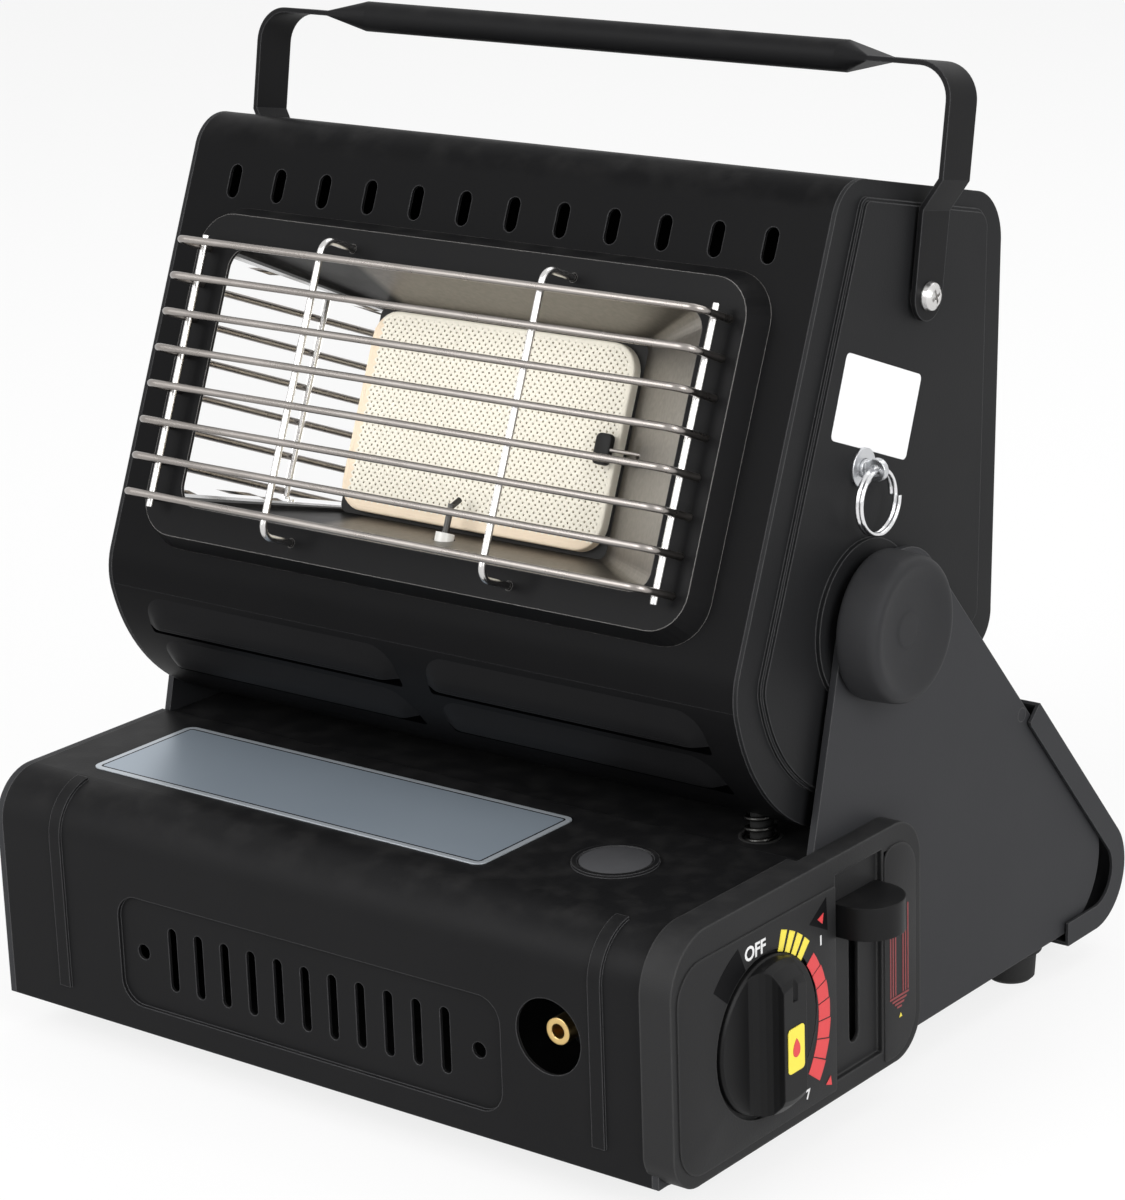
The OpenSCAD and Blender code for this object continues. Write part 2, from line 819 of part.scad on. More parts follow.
// Louvre lanced out of the lower curve, open along its lower edge
module louvre(side, angle) {
    span = 9;
    lift = 1.8;
    half = 41;
    middle = side * 51;
    // The louvre skin is the same curve turned about its upper edge
    upper = [pivot_y + head_radius * cos(angle - span), pivot_z + head_radius * sin(angle - span)];
    turn = atan(lift / (head_radius * span * PI / 180));
    across(middle - half, middle + half) intersection() {
        translate(upper) rotate(-turn) translate(-upper) difference() {
            translate([pivot_y, pivot_z]) circle(r = head_radius);
            translate([pivot_y, pivot_z]) circle(r = head_radius - sheet);
        }
        louvre_sector(angle, span, 70);
    }
    for (end = [-1, 1]) across(middle + end * half - 0.5, middle + end * half + 0.5) intersection() {
        difference() {
            translate(upper) rotate(-turn) translate(-upper) translate([pivot_y, pivot_z])
                circle(r = head_radius);
            translate([pivot_y, pivot_z]) circle(r = head_radius - sheet / 2);
        }
        louvre_sector(angle, span, 70);
    }
}

module louvre_sector(angle, span, reach) {
    polygon([
        [pivot_y, pivot_z],
        [pivot_y + reach * cos(angle - span), pivot_z + reach * sin(angle - span)],
        [pivot_y + reach * cos(angle), pivot_z + reach * sin(angle)]
    ]);
}

module head_wrap() {
    slot_pitch = 16.53;
    last = (top_slots - 1) / 2;
    louvre_angles = [203.5, 219];
    color("#1c1c1e") {
        difference() {
            across(-wrap_half, wrap_half) difference() {
                head_ring(0, sheet);
                translate([wrap_front_end, 0]) square([200, wrap_rear_low]);
            }
            on_face(face_out - 3, face_out + 3, bezel_up)
                round_rect(window_w + 2 * face_cut, window_h + face_cut, 8);
            for (i = [-last:last]) on_face(face_out - 3, face_out + 3, plaque_up + 56)
                translate([i * slot_pitch, 0]) slot_2d(4.2, 9.5);
            for (side = [-1, 1], angle = louvre_angles)
                across(side * 51 - 40.4, side * 51 + 40.4) louvre_sector(angle - 0.2, 6, 70);
            // Way in for the gas hose
            translate([hose_x - 8, hose_y - 8, pivot_z - 60]) cube([16, 30, 20]);
        }
        for (side = [-1, 1], angle = louvre_angles) louvre(side, angle);
    }
}

module head_end(side) {
    rim = pan_rim;
    mirrored(side) difference() {
        union() {
            across(wrap_half, head_half) arc_outline(head_arcs);
            across(head_half - 0.5, pan_face - pan_step) arc_outline(pan_arcs, rim);
            across(head_half, pan_face) arc_outline(pan_arcs, rim + pan_step);
            x_rod(pivot_y, pivot_z, boss_r, pan_face - 0.5, boss_face);
            across(wrap_half - 7, wrap_half) head_ring(sheet + seat_gap, sheet);
        }
        across(wrap_half - 1, pan_face - pan_sheet) arc_outline(pan_arcs, rim + 0.8);
        x_rod(pivot_y, pivot_z, boss_r - 1.2, wrap_half, boss_face - pan_sheet);
        x_rod(pivot_y, pivot_z, stud_r + seat_gap, wrap_half, boss_face + 1);
        x_rod(screw_y, screw_z, screw_r + seat_gap, wrap_half, boss_face + 1);
    }
}

module head_end_left() color("#202022") head_end(-1);
module head_end_right() {
    color("#202022") difference() {
        head_end(1);
        x_rod(pin_y, pin_z, pin_r + 1.6 + seat_gap, wrap_half, boss_face + 1);
    }
}

// Rear cover with rows of vents
module head_back() {
    vent_pitch = 16;
    vent_low = 10;
    row_pitch = 18;
    color("#1c1c1e") difference() {
        across(-wrap_half, wrap_half) intersection() {
            head_ring(0, sheet);
            translate([rear_cover_front, 0]) square([2 * base_width, wrap_rear_low]);
        }
        for (row = [0:2], i = [-5:5])
            translate([i * vent_pitch, pivot_y + 50, pivot_z + vent_low + row * row_pitch])
                from_front(0, 40) rotate(90) slot_2d(4, 11);
    }
}

// Size of the bezel's skirt at a distance out from the tilt axis
function bezel_size(out) =
    let (share = (bezel_front - out) / bezel_rise)
    [bezel_crest_w, bezel_crest_h] * (1 - share) + [bezel_w, bezel_h] * share;

// Raised flat frame round the reflector's mouth, folded back to the wrap
module burner_bezel() {
    fold = [2 * sheet, 2 * sheet];
    under = bezel_front - sheet;
    color("#161617") difference() {
        face_loft(face_out, bezel_size(face_out), 13, bezel_front, bezel_size(bezel_front), 11, bezel_up);
        face_loft(face_out - 1, bezel_size(face_out - 1) - fold, 12,
            under, bezel_size(under) - fold, 10, bezel_up);
        on_face(face_out, bezel_front + 1, bezel_up) round_rect(window_w, window_h, 6);
        for (x = [-1, 1], end = [-1, 1]) face_frame()
            translate([x * hook_x, -under + 1, plaque_up + end * hook_half]) rotate([90, 0, 0])
                cylinder(r = wire_r + 0.2, h = 2 * sheet + 1);
    }
}

// Inside of the reflector at a distance out from the tilt axis
function mirror_size(out) =
    let (share = (out - throat_out) / (bezel_front - sheet - throat_out))
    [plaque_width + 2 * throat_gap, plaque_height + 2 * throat_gap] * (1 - share)
        + [window_w, window_h] * share;

module reflector() {
    top = bezel_front - sheet;
    wall = [2 * mirror_sheet, 2 * mirror_sheet];
    color("#d9dadb") difference() {
        union() {
            face_loft(throat_out, mirror_size(throat_out) + wall, 3, top - mirror_sheet / 2,
                mirror_size(top - mirror_sheet / 2) + wall, 6, bezel_up);
            on_face(top - mirror_sheet, top, bezel_up)
                round_rect(window_w + 2 * mirror_flange, window_h + 2 * mirror_flange, 7);
        }
        face_loft(throat_out - 1, mirror_size(throat_out - 1), 2.4,
            top + 1, mirror_size(top + 1), 5.4, bezel_up);
        // Holes for the spark insulator and the flame sensor
        face_frame() translate([spark_x, -spark_out, bezel_up - window_h])
            cylinder(r = spark_r + 0.4, h = window_h);
        face_frame() translate([0, -sensor_out, sensor_up]) rotate([0, 90, 0])
            cylinder(r = sensor_r + seat_gap, h = window_w);
    }
}

// Plaque with a shoulder that the back edge of the reflector sits on
module ceramic_plaque() {
    shoulder = throat_gap + plaque_lap;
    color("#efe6d2") {
        on_face(throat_out - plaque_t, throat_out, bezel_up)
            round_rect(plaque_width + 2 * shoulder, plaque_height + 2 * shoulder, 5);
        on_face(throat_out - 1, plaque_out, bezel_up) round_rect(plaque_width, plaque_height, 8);
    }
}

module burner_box() {
    w = plaque_width + 2 * throat_gap + 2 * plaque_lap;
    h = plaque_height + 2 * throat_gap + 2 * plaque_lap;
    tab_w = 9;
    tab_root = 4;
    color("#8d9094") difference() {
        union() {
            on_face(throat_out - box_deep, throat_out, bezel_up)
                round_rect(w + 2 * box_wall, h + 2 * box_wall, 7);
            // Tab that carries the spark insulator
            face_frame() translate([spark_x - tab_w / 2, -throat_out + 1, box_low - spark_tab])
                cube([tab_w, tab_root, spark_tab + 0.5]);
            face_frame() translate([spark_x - tab_w / 2, -spark_out - tab_w / 2, box_low - spark_tab])
                cube([tab_w, spark_out + tab_w / 2 - throat_out + 2, spark_tab - 0.6]);
        }
        face_frame() translate([spark_x, -spark_out, box_low - 2 * spark_tab])
            cylinder(r = spark_r + seat_gap, h = 3 * spark_tab);
        on_face(throat_out - plaque_t, throat_out + 1, bezel_up)
            round_rect(w + 2 * seat_gap, h + 2 * seat_gap, 5);
        on_face(throat_out - box_deep + 2, throat_out, bezel_up) round_rect(w - 6, h - 6, 4);
    }
}

// Venturi tube under the burner box, with air windows beside the jet
module mixer_tube() {
    mouth = hose_x - jet_reach / 2;
    neck_x = -8;
    color("#8d9094") difference() {
        union() {
            x_rod(jet_at[0], jet_at[1], mixer_r, neck_x - 10, mouth);
            face_frame() translate([neck_x, -mixer_out, mixer_up]) cylinder(r = 9, h = box_low - mixer_up);
        }
        x_rod(jet_at[0], jet_at[1], mixer_r - 1.4, neck_x - 8, mouth - 1.4);
        x_rod(jet_at[0], jet_at[1], jet_r + seat_gap, mouth - 3, mouth + 1);
        for (turn = [0:90:270]) translate([0, jet_at[0], jet_at[1]]) rotate([turn + 45, 0, 0])
            translate([mouth - 17, -3, 0]) cube([12, 6, 20]);
    }
}

module gas_jet() {
    color("#c9a24a") {
        difference() {
            union() {
                x_rod(jet_at[0], jet_at[1], jet_r, hose_x - jet_reach, hose_x);
                translate([hose_x, jet_at[0], jet_at[1]]) sphere(r = 6);
                translate([hose_x, jet_at[0], hose_high + hose_gap])
                    cylinder(r = 4.6, h = jet_at[1] - hose_high - hose_gap);
            }
            x_rod(jet_at[0], jet_at[1], 0.8, hose_x - jet_reach - 1, hose_x - 10);
        }
    }
}

// Spark electrode that stands in front of the lower edge of the plaque
module spark_insulator() {
    color("#e8e6df") face_frame() translate([spark_x, -spark_out, box_low - spark_tab - spark_collar]) {
        cylinder(r = spark_r, h = spark_top - box_low + spark_tab + spark_collar);
        cylinder(r = spark_r + 1, h = spark_collar);
    }
}

module spark_electrode() {
    color("#55575a") face_frame() translate([spark_x, -spark_out, spark_top]) {
        cylinder(r = 0.9, h = 8);
        translate([0, 0, 7]) rotate([-50, 0, 0]) cylinder(r = 0.8, h = 4);
    }
}

module flame_sensor() {
    color("#1a1a1b") face_frame() translate([plaque_width / 2 - 2, -sensor_out, sensor_up]) {
        rotate([0, 90, 0]) cylinder(r = sensor_r, h = 22);
        translate([-3, -sensor_r, -4]) cube([5, 2 * sensor_r, 8]);
    }
}

// Wire with both ends bent back, lying in a plane of the guard
module bent_wire(half, bend, leg) {
    rotate([0, 90, 0]) translate([0, 0, bend - half]) cylinder(r = wire_r, h = 2 * (half - bend));
    for (side = [-1, 1]) mirror([side < 0 ? 1 : 0, 0, 0]) {
        translate([half - bend, bend, 0]) rotate([0, 0, -90]) rotate_extrude(angle = 90)
            translate([bend, 0]) circle(r = wire_r, $fn = 24);
        translate([half, bend, 0]) rotate([-90, 0, 0]) cylinder(r = wire_r, h = leg);
    }
}

module guard_rails() {
    color("#d6d8da") for (i = [0:rail_count - 1]) face_frame()
        translate([0, -guard_out, plaque_up + (rail_count - 1) * rail_pitch / 2 - i * rail_pitch])
            bent_wire(guard_half, rail_bend, rail_leg, $fn = 24);
}

module guard_end_bars() {
    half = (rail_count - 1) * rail_pitch / 2 + 3;
    color("#d6d8da") for (side = [-1, 1]) face_frame()
        translate([side * (guard_half - wire_d), -guard_out + end_bar_back, plaque_up - half])
            cylinder(r = wire_r, h = 2 * half, $fn = 24);
}

module guard_hook_bars() {
    leg = guard_out - wire_d - rail_bend - hook_end;
    color("#d6d8da") for (side = [-1, 1]) face_frame()
        translate([side * hook_x, -guard_out + wire_d, plaque_up]) rotate([0, -90, 0])
            bent_wire(hook_half, rail_bend, leg, $fn = 24);
}

// Stud welded inside the end plate, through the side plate into the tilt knob
module pivot_stud(side) {
    color("#b9bcc0") mirrored(side) {
        x_rod(pivot_y, pivot_z, 8, boss_face - pan_sheet - 2.5, boss_face - pan_sheet);
        x_rod(pivot_y, pivot_z, stud_r, boss_face - pan_sheet, knob_in + knob_bore - 0.6);
    }
}

module pivot_stud_left() pivot_stud(-1);
module pivot_stud_right() pivot_stud(1);

// Dished thumb knob on the tilt axis
module tilt_knob(side) {
    r = tilt_knob_d / 2;
    color("#1a1a1b") mirrored(side) translate([knob_in, pivot_y, pivot_z]) rotate([0, 90, 0])
        difference() {
            rotate_extrude() polygon([
                [0, 0], [r - 0.6, 0], [r, 0.8], [r - 0.5, knob_depth - 2.4], [r - 1.3, knob_depth - 0.7],
                [r - 2.8, knob_depth], [r - 4.6, knob_depth - 0.4], [r - 8, knob_depth - 2],
                [r - 11, knob_depth - 2.6], [5, knob_depth - 2.6], [4.6, knob_depth - 2.2],
                [0, knob_depth - 2.2]
            ]);
            translate([0, 0, -1]) cylinder(r = stud_r + running, h = knob_bore + 1);
        }
}

module tilt_knob_left() tilt_knob(-1);
module tilt_knob_right() tilt_knob(1);

module pin_guide() {
    color("#b9bcc0") difference() {
        union() {
            x_rod(pin_y, pin_z, pin_r + 1.6, pan_face - 10, pan_face + 0.8);
            x_rod(pin_y, pin_z, pin_r + 2.8, pan_face, pan_face + 0.8);
        }
        x_rod(pin_y, pin_z, pin_r + running, pan_face - 11, pan_face + 2);
    }
}

// Pin with a flattened eye for the ring
module pull_pin() {
    hole_r = 1.4;
    color("#b9bcc0") difference() {
        union() {
            x_rod(pin_y, pin_z, pin_r, pan_face - 18, pan_face + 1.6);
            translate([eye_x, pin_y + eye_t / 2, pin_z]) rotate([90, 0, 0]) cylinder(r = eye_r, h = eye_t);
            translate([pan_face + 1, pin_y - eye_t / 2, pin_z - 1.9]) cube([eye_x - pan_face - 1, eye_t, 3.8]);
        }
        translate([eye_x, pin_y + eye_t, pin_z]) rotate([90, 0, 0]) cylinder(r = hole_r, h = 2 * eye_t);
    }
}

// Split ring of two close turns that hangs from the eye
module pull_ring() {
    color("#d6d8da") translate([eye_x, pin_y, pin_z - ring_r]) rotate([0, 90, 0])
        rotate_extrude() translate([ring_r, 0]) circle(r = ring_wire, $fn = 24);
}

module handle_frame() {
    translate([0, screw_y, screw_z]) rotate([-handle_lean, 0, 0]) children();
}

// Strap handle folded from one strip, with its top rolled into a grip
module carry_handle() {
    out = strap_in + joggle;
    top = handle_reach + strap_t / 2;
    flat_out = out + strap_t - strap_corner;
    flat_in = flat_out - strap_flat;
    grip_half = flat_in - grip_taper;
    side_line = [
        [strap_in, 0], [strap_in + strap_t, 0], [strap_in + strap_t, joggle_low],
        [out + strap_t, joggle_high], [out + strap_t, top - strap_corner],
        [out, top - strap_corner], [out, joggle_high + 0.4], [strap_in, joggle_low + 0.4]
    ];
    color("#1a1a1b") handle_frame() {
        for (side = [-1, 1]) mirrored(side) {
            difference() {
                union() {
                    from_front(-strap_w / 2, strap_w / 2) polygon(side_line);
                    x_rod(0, 0, strap_w / 2, strap_in, strap_in + strap_t);
                }
                x_rod(0, 0, screw_r + running, strap_in - 1, strap_in + strap_t + 1);
            }
            // Bend over the corner, then the flat end that swells into the grip
            translate([flat_out, -strap_w / 2, top - strap_corner]) rotate([-90, 0, 0])
                rotate([0, 0, -90]) rotate_extrude(angle = 90) translate([strap_corner - strap_t, 0])
                    square([strap_t, strap_w]);
            translate([flat_in, -strap_w / 2, top - strap_t]) cube([strap_flat, strap_w, strap_t]);
            hull() {
                translate([flat_in, -strap_w / 2, top - strap_t]) cube([eps, strap_w, strap_t]);
                x_rod(0, handle_reach, grip_d / 2 - 2 * eps, grip_half - 2, grip_half, $fn = 32);
            }
        }
        x_rod(0, handle_reach, grip_d / 2, -grip_half, grip_half);
    }
}

module handle_screw(side) {
    face = strap_in + strap_t + rub_gap;
    color("#d6d8da") mirrored(side) difference() {
        union() {
            x_rod(screw_y, screw_z, screw_r, pan_face - 6, face);
            translate([face, screw_y, screw_z]) rotate([0, 90, 0]) rotate_extrude()
                polygon([[0, 0], [4, 0], [3.6, 1.4], [2.4, 2.2], [0, 2.4]]);
        }
        for (turn = [0, 90]) translate([face + 1.2, screw_y, screw_z]) rotate([turn + 20, 0, 0])
            translate([0, -2, -0.45]) cube([4, 4, 0.9]);
    }
}

module handle_screw_left() handle_screw(-1);
module handle_screw_right() handle_screw(1);

module handle_washer(side) {
    color("#b9bcc0") mirrored(side) difference() {
        x_rod(screw_y, screw_z, 5, pan_face, pan_face + washer_t);
        x_rod(screw_y, screw_z, screw_r + seat_gap, pan_face - 1, pan_face + washer_t + 1);
    }
}

module handle_washer_left() handle_washer(-1);
module handle_washer_right() handle_washer(1);

translate(centre) {
    base_shell();
    base_floor();
    side_plate_left();
    side_plate_right();
    bay_roof();
    control_panel();
    gas_valve();
    gas_inlet();
    piezo_igniter();
    cartridge_socket();
    cartridge_cradle();
    inlet_pipe();
    outlet_pipe();
    hose_grommet();
    foot_front_left();
    foot_front_right();
    foot_rear_left();
    foot_rear_right();
    lid_pin_left();
    lid_pin_right();
    rear_lid();
    gas_knob();
    knob_stem();
    lock_lever();
    cartridge_yoke();
    gas_hose();
    hose_coil();
    head_wrap();
    head_end_left();
    head_end_right();
    head_back();
    burner_bezel();
    reflector();
    ceramic_plaque();
    burner_box();
    mixer_tube();
    gas_jet();
    spark_insulator();
    spark_electrode();
    flame_sensor();
    guard_rails();
    guard_end_bars();
    guard_hook_bars();
    pivot_stud_left();
    pivot_stud_right();
    tilt_knob_left();
    tilt_knob_right();
    pin_guide();
    pull_pin();
    pull_ring();
    carry_handle();
    handle_screw_left();
    handle_screw_right();
    handle_washer_left();
    handle_washer_right();
}
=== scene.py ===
import json
import math

import bpy
from mathutils import Matrix, Vector


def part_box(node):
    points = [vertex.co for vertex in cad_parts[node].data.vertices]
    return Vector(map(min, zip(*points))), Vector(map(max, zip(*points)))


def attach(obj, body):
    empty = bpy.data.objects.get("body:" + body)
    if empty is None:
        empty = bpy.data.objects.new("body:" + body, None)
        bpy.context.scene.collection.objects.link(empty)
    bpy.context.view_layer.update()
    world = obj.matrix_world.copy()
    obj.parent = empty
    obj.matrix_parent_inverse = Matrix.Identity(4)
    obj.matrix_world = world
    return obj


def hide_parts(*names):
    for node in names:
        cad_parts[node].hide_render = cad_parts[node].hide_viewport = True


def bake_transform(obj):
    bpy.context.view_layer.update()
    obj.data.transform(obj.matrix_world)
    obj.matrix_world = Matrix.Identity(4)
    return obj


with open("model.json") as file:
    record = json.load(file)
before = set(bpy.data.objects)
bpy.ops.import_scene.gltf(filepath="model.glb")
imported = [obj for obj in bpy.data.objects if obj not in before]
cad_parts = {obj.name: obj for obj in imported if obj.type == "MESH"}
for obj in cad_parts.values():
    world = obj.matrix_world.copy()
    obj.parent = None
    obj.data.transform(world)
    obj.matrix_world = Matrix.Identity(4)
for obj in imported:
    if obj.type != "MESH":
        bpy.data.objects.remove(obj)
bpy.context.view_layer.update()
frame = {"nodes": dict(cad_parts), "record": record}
nodes = frame["nodes"]
scene = bpy.context.scene
print("frame loaded with", len(nodes), "nodes")


def mm(value):
    return value / 1000


def middleOf(node):
    low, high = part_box(node)
    return (low + high) / 2


# Frame of the radiant face: its origin is on the tilt axis, up and out run along the leaning face
faceLean = math.radians(22.6)
tiltAxis = middleOf("tilt_knob_right")
headMiddle = middleOf("head_wrap").x
faceUp = Vector((0, math.sin(faceLean), math.cos(faceLean)))
faceOut = Vector((0, -math.cos(faceLean), math.sin(faceLean)))


def onFace(x, up, out):
    return Vector((headMiddle + mm(x), tiltAxis.y, tiltAxis.z)) + faceUp * mm(up) + faceOut * mm(out)


facing = 0.9  # a normal with this much of a direction in it faces that way
nearTop = 0.9  # a point above this share of a piece's height is on its upper face


# Small helpers for work by operators
def deselect():
    if bpy.context.object and bpy.context.object.mode != "OBJECT":
        bpy.ops.object.mode_set(mode="OBJECT")
    bpy.ops.object.select_all(action="DESELECT")


def pick(piece):
    deselect()
    piece.select_set(True)
    bpy.context.view_layer.objects.active = piece


def openEdit(piece, kind="FACE"):
    pick(piece)
    bpy.ops.object.mode_set(mode="EDIT")
    bpy.ops.mesh.select_mode(type=kind)


def selectIn(piece, kind, rule):
    bpy.ops.object.mode_set(mode="OBJECT")
    mesh = piece.data
    for part in (mesh.vertices, mesh.edges, mesh.polygons):
        part.foreach_set("select", [False] * len(part))
    flags = (kind == "VERT", kind == "EDGE", kind == "FACE")
    bpy.context.tool_settings.mesh_select_mode = flags
    if kind == "FACE":
        for face in mesh.polygons:
            face.select = rule(face.center, face.normal)
    elif kind == "EDGE":
        for edge in mesh.edges:
            start, end = (mesh.vertices[i].co for i in edge.vertices)
            edge.select = rule(start, end)
    else:
        for vertex in mesh.vertices:
            vertex.select = rule(vertex.co)
    bpy.ops.object.mode_set(mode="EDIT")


def applyModifier(piece, kind, **values):
    pick(piece)
    modifier = piece.modifiers.new(kind.lower(), kind)
    for key, value in values.items():
        setattr(modifier, key, value)
    bpy.ops.object.modifier_apply(modifier=modifier.name)


def joinPieces(pieces):
    deselect()
    for piece in pieces:
        piece.select_set(True)
    bpy.context.view_layer.objects.active = pieces[0]
    bpy.ops.object.join()
    return bpy.context.object


def place(piece, matrix):
    piece.matrix_world = matrix @ piece.matrix_world
    pick(piece)
    bpy.ops.object.transform_apply(location=True, rotation=True, scale=True)


def placeCopy(model, matrix):
    pick(model)
    bpy.ops.object.duplicate()
    place(bpy.context.object, matrix)
    return bpy.context.object


def coat(piece, materials):
    for material in materials:
        piece.data.materials.append(material)


def settle(piece, name, body, materials, angle=35):
    pick(piece)
    bpy.ops.object.transform_apply(location=True, rotation=True, scale=True)
    bpy.ops.object.shade_smooth_by_angle(angle=math.radians(angle))
    piece.name = name
    piece.data.name = name
    coat(piece, materials)
    if body:
        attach(piece, body)


def axesMatrix(origin, across, up):
    across = across.normalized()
    normal = across.cross(up).normalized()
    up = normal.cross(across)
    turn = Matrix((across, up, normal)).transposed().to_4x4()
    return Matrix.Translation(origin) @ turn


# Camera, at the angle and framing of the photograph
view = {
    "place": (0.60847, -0.77615, 0.41973),
    "yaw": 38.23,
    "pitch": 17.80,
    "roll": -1.89,
    "lens": 110.7,
    "sensor": 36,
    "shift": (-0.001, 0.038),
    "near": 0.01,
}


def makeCamera():
    yaw, pitch, roll = (math.radians(view[key]) for key in ("yaw", "pitch", "roll"))
    back = Vector((math.sin(yaw) * math.cos(pitch), -math.cos(yaw) * math.cos(pitch), math.sin(pitch)))
    right = Vector((math.cos(yaw), math.sin(yaw), 0))
    up = back.cross(right)
    rolledRight = right * math.cos(roll) + up * math.sin(roll)
    rolledUp = up * math.cos(roll) - right * math.sin(roll)
    bpy.ops.object.camera_add()
    camera = bpy.context.object
    turn = Matrix((rolledRight, rolledUp, back)).transposed().to_4x4()
    camera.matrix_world = Matrix.Translation(Vector(view["place"])) @ turn
    camera.data.sensor_fit = "VERTICAL"
    camera.data.sensor_height = view["sensor"]
    camera.data.lens = view["lens"]
    camera.data.shift_x, camera.data.shift_y = view["shift"]
    camera.data.clip_start = view["near"]
    scene.camera = camera


makeCamera()
print("camera ready")

# Studio: a pale floor, a white surround and soft lamps
studio = {
    "floorSize": 6,
    "floorTone": (0.94, 0.94, 0.94),
    "floorRough": 0.9,
    "floorGlow": 0.8,
    "fill": 0.5,
    "aim": (0, 0, 0.14),
    "lamps": [
        {"place": (-0.5, -1.5, 1.0), "size": 1.3, "power": 24},
        {"place": (1.5, -0.5, 0.8), "size": 1.0, "power": 18},
        {"place": (0.2, 1.0, 1.5), "size": 1.2, "power": 8},
    ],
}


def addNode(tree, kind, **settings):
    node = tree.nodes.new(kind)
    for key, value in settings.items():
        setattr(node, key, value)
    return node


def makeStudio():
    scene.view_settings.view_transform = "Standard"
    world = bpy.data.worlds.new("studioWorld")
    scene.world = world
    world.use_nodes = True
    tree = world.node_tree
    tree.nodes.clear()
    paths = addNode(tree, "ShaderNodeLightPath")
    seen = addNode(tree, "ShaderNodeMath", operation="MAXIMUM")
    tree.links.new(paths.outputs["Is Camera Ray"], seen.inputs[0])
    tree.links.new(paths.outputs["Is Glossy Ray"], seen.inputs[1])
    through = addNode(tree, "ShaderNodeMath", operation="MAXIMUM")
    tree.links.new(seen.outputs[0], through.inputs[0])
    tree.links.new(paths.outputs["Is Transmission Ray"], through.inputs[1])
    fill = addNode(tree, "ShaderNodeBackground")
    fill.inputs["Strength"].default_value = studio["fill"]
    fill.inputs["Color"].default_value = (1, 1, 1, 1)
    white = addNode(tree, "ShaderNodeBackground")
    white.inputs["Color"].default_value = (1, 1, 1, 1)
    mix = addNode(tree, "ShaderNodeMixShader")
    tree.links.new(through.outputs[0], mix.inputs[0])
    tree.links.new(fill.outputs[0], mix.inputs[1])
    tree.links.new(white.outputs[0], mix.inputs[2])
    end = addNode(tree, "ShaderNodeOutputWorld")
    tree.links.new(mix.outputs[0], end.inputs["Surface"])
    for number, lamp in enumerate(studio["lamps"]):
        bpy.ops.object.light_add(type="AREA", location=lamp["place"])
        light = bpy.context.object
        light.name = f"softLamp{number}"
        light.data.energy = lamp["power"]
        light.data.size = lamp["size"]
        aim = Vector(studio["aim"]) - Vector(lamp["place"])
        light.rotation_euler = aim.to_track_quat("-Z", "Y").to_euler()
    deselect()
    bpy.ops.mesh.primitive_plane_add(size=studio["floorSize"])
    floor = bpy.context.object
    floor.name = "studioFloor"
    material = bpy.data.materials.new("paleFloor")
    material.use_nodes = True
    floorTree = material.node_tree
    shader = floorTree.nodes["Principled BSDF"]
    shader.inputs["Base Color"].default_value = (*studio["floorTone"], 1)
    shader.inputs["Roughness"].default_value = studio["floorRough"]
    glow = addNode(floorTree, "ShaderNodeEmission")
    blend = addNode(floorTree, "ShaderNodeMixShader")
    rays = addNode(floorTree, "ShaderNodeLightPath")
    share = addNode(floorTree, "ShaderNodeMath", operation="MULTIPLY")
    share.inputs[1].default_value = studio["floorGlow"]
    seenFloor = addNode(floorTree, "ShaderNodeMath", operation="MAXIMUM")
    floorTree.links.new(rays.outputs["Is Camera Ray"], seenFloor.inputs[0])
    floorTree.links.new(rays.outputs["Is Glossy Ray"], seenFloor.inputs[1])
    floorTree.links.new(seenFloor.outputs[0], share.inputs[0])
    floorTree.links.new(share.outputs[0], blend.inputs[0])
    floorTree.links.new(shader.outputs[0], blend.inputs[1])
    floorTree.links.new(glow.outputs[0], blend.inputs[2])
    floorTree.links.new(blend.outputs[0], floorTree.nodes["Material Output"].inputs["Surface"])
    floor.data.materials.append(material)


makeStudio()
print("studio ready")


# Shared effects, each a node group that is placed in the materials with its own values
effects = {
    "grainDetail": 2,
    "mottleDetail": 4,
    "mottleSpan": (0.3, 0.7),
    "edgeStart": 0.97,  # leaves out the shallow turns inside a curved wall
    "edgeSamples": 4,
    "dustSlope": 0.4,
    "dustDetail": 5,
    "dustSpan": (0.45, 0.75),
}


def startGroup(name, inputs, outputs):
    group = bpy.data.node_groups.new(name, "ShaderNodeTree")
    for label, value in inputs.items():
        socket = group.interface.new_socket(name=label, in_out="INPUT", socket_type="NodeSocketFloat")
        socket.default_value = value
    for label, kind in outputs.items():
        group.interface.new_socket(name=label, in_out="OUTPUT", socket_type=kind)
    return group, group.nodes.new("NodeGroupInput"), group.nodes.new("NodeGroupOutput")


def makeGrain():
    outputs = {"Height": "NodeSocketFloat", "Mottle": "NodeSocketFloat"}
    group, entry, leave = startGroup("coatGrain", {"Fine": 1800, "Patch": 30}, outputs)
    coords = addNode(group, "ShaderNodeTexCoord")
    for source, target, detail in (("Fine", "Height", "grainDetail"), ("Patch", "Mottle", "mottleDetail")):
        noise = addNode(group, "ShaderNodeTexNoise")
        noise.inputs["Detail"].default_value = effects[detail]
        group.links.new(coords.outputs["Object"], noise.inputs["Vector"])
        group.links.new(entry.outputs[source], noise.inputs["Scale"])
        group.links.new(noise.outputs["Fac"], leave.inputs[target])
    return group


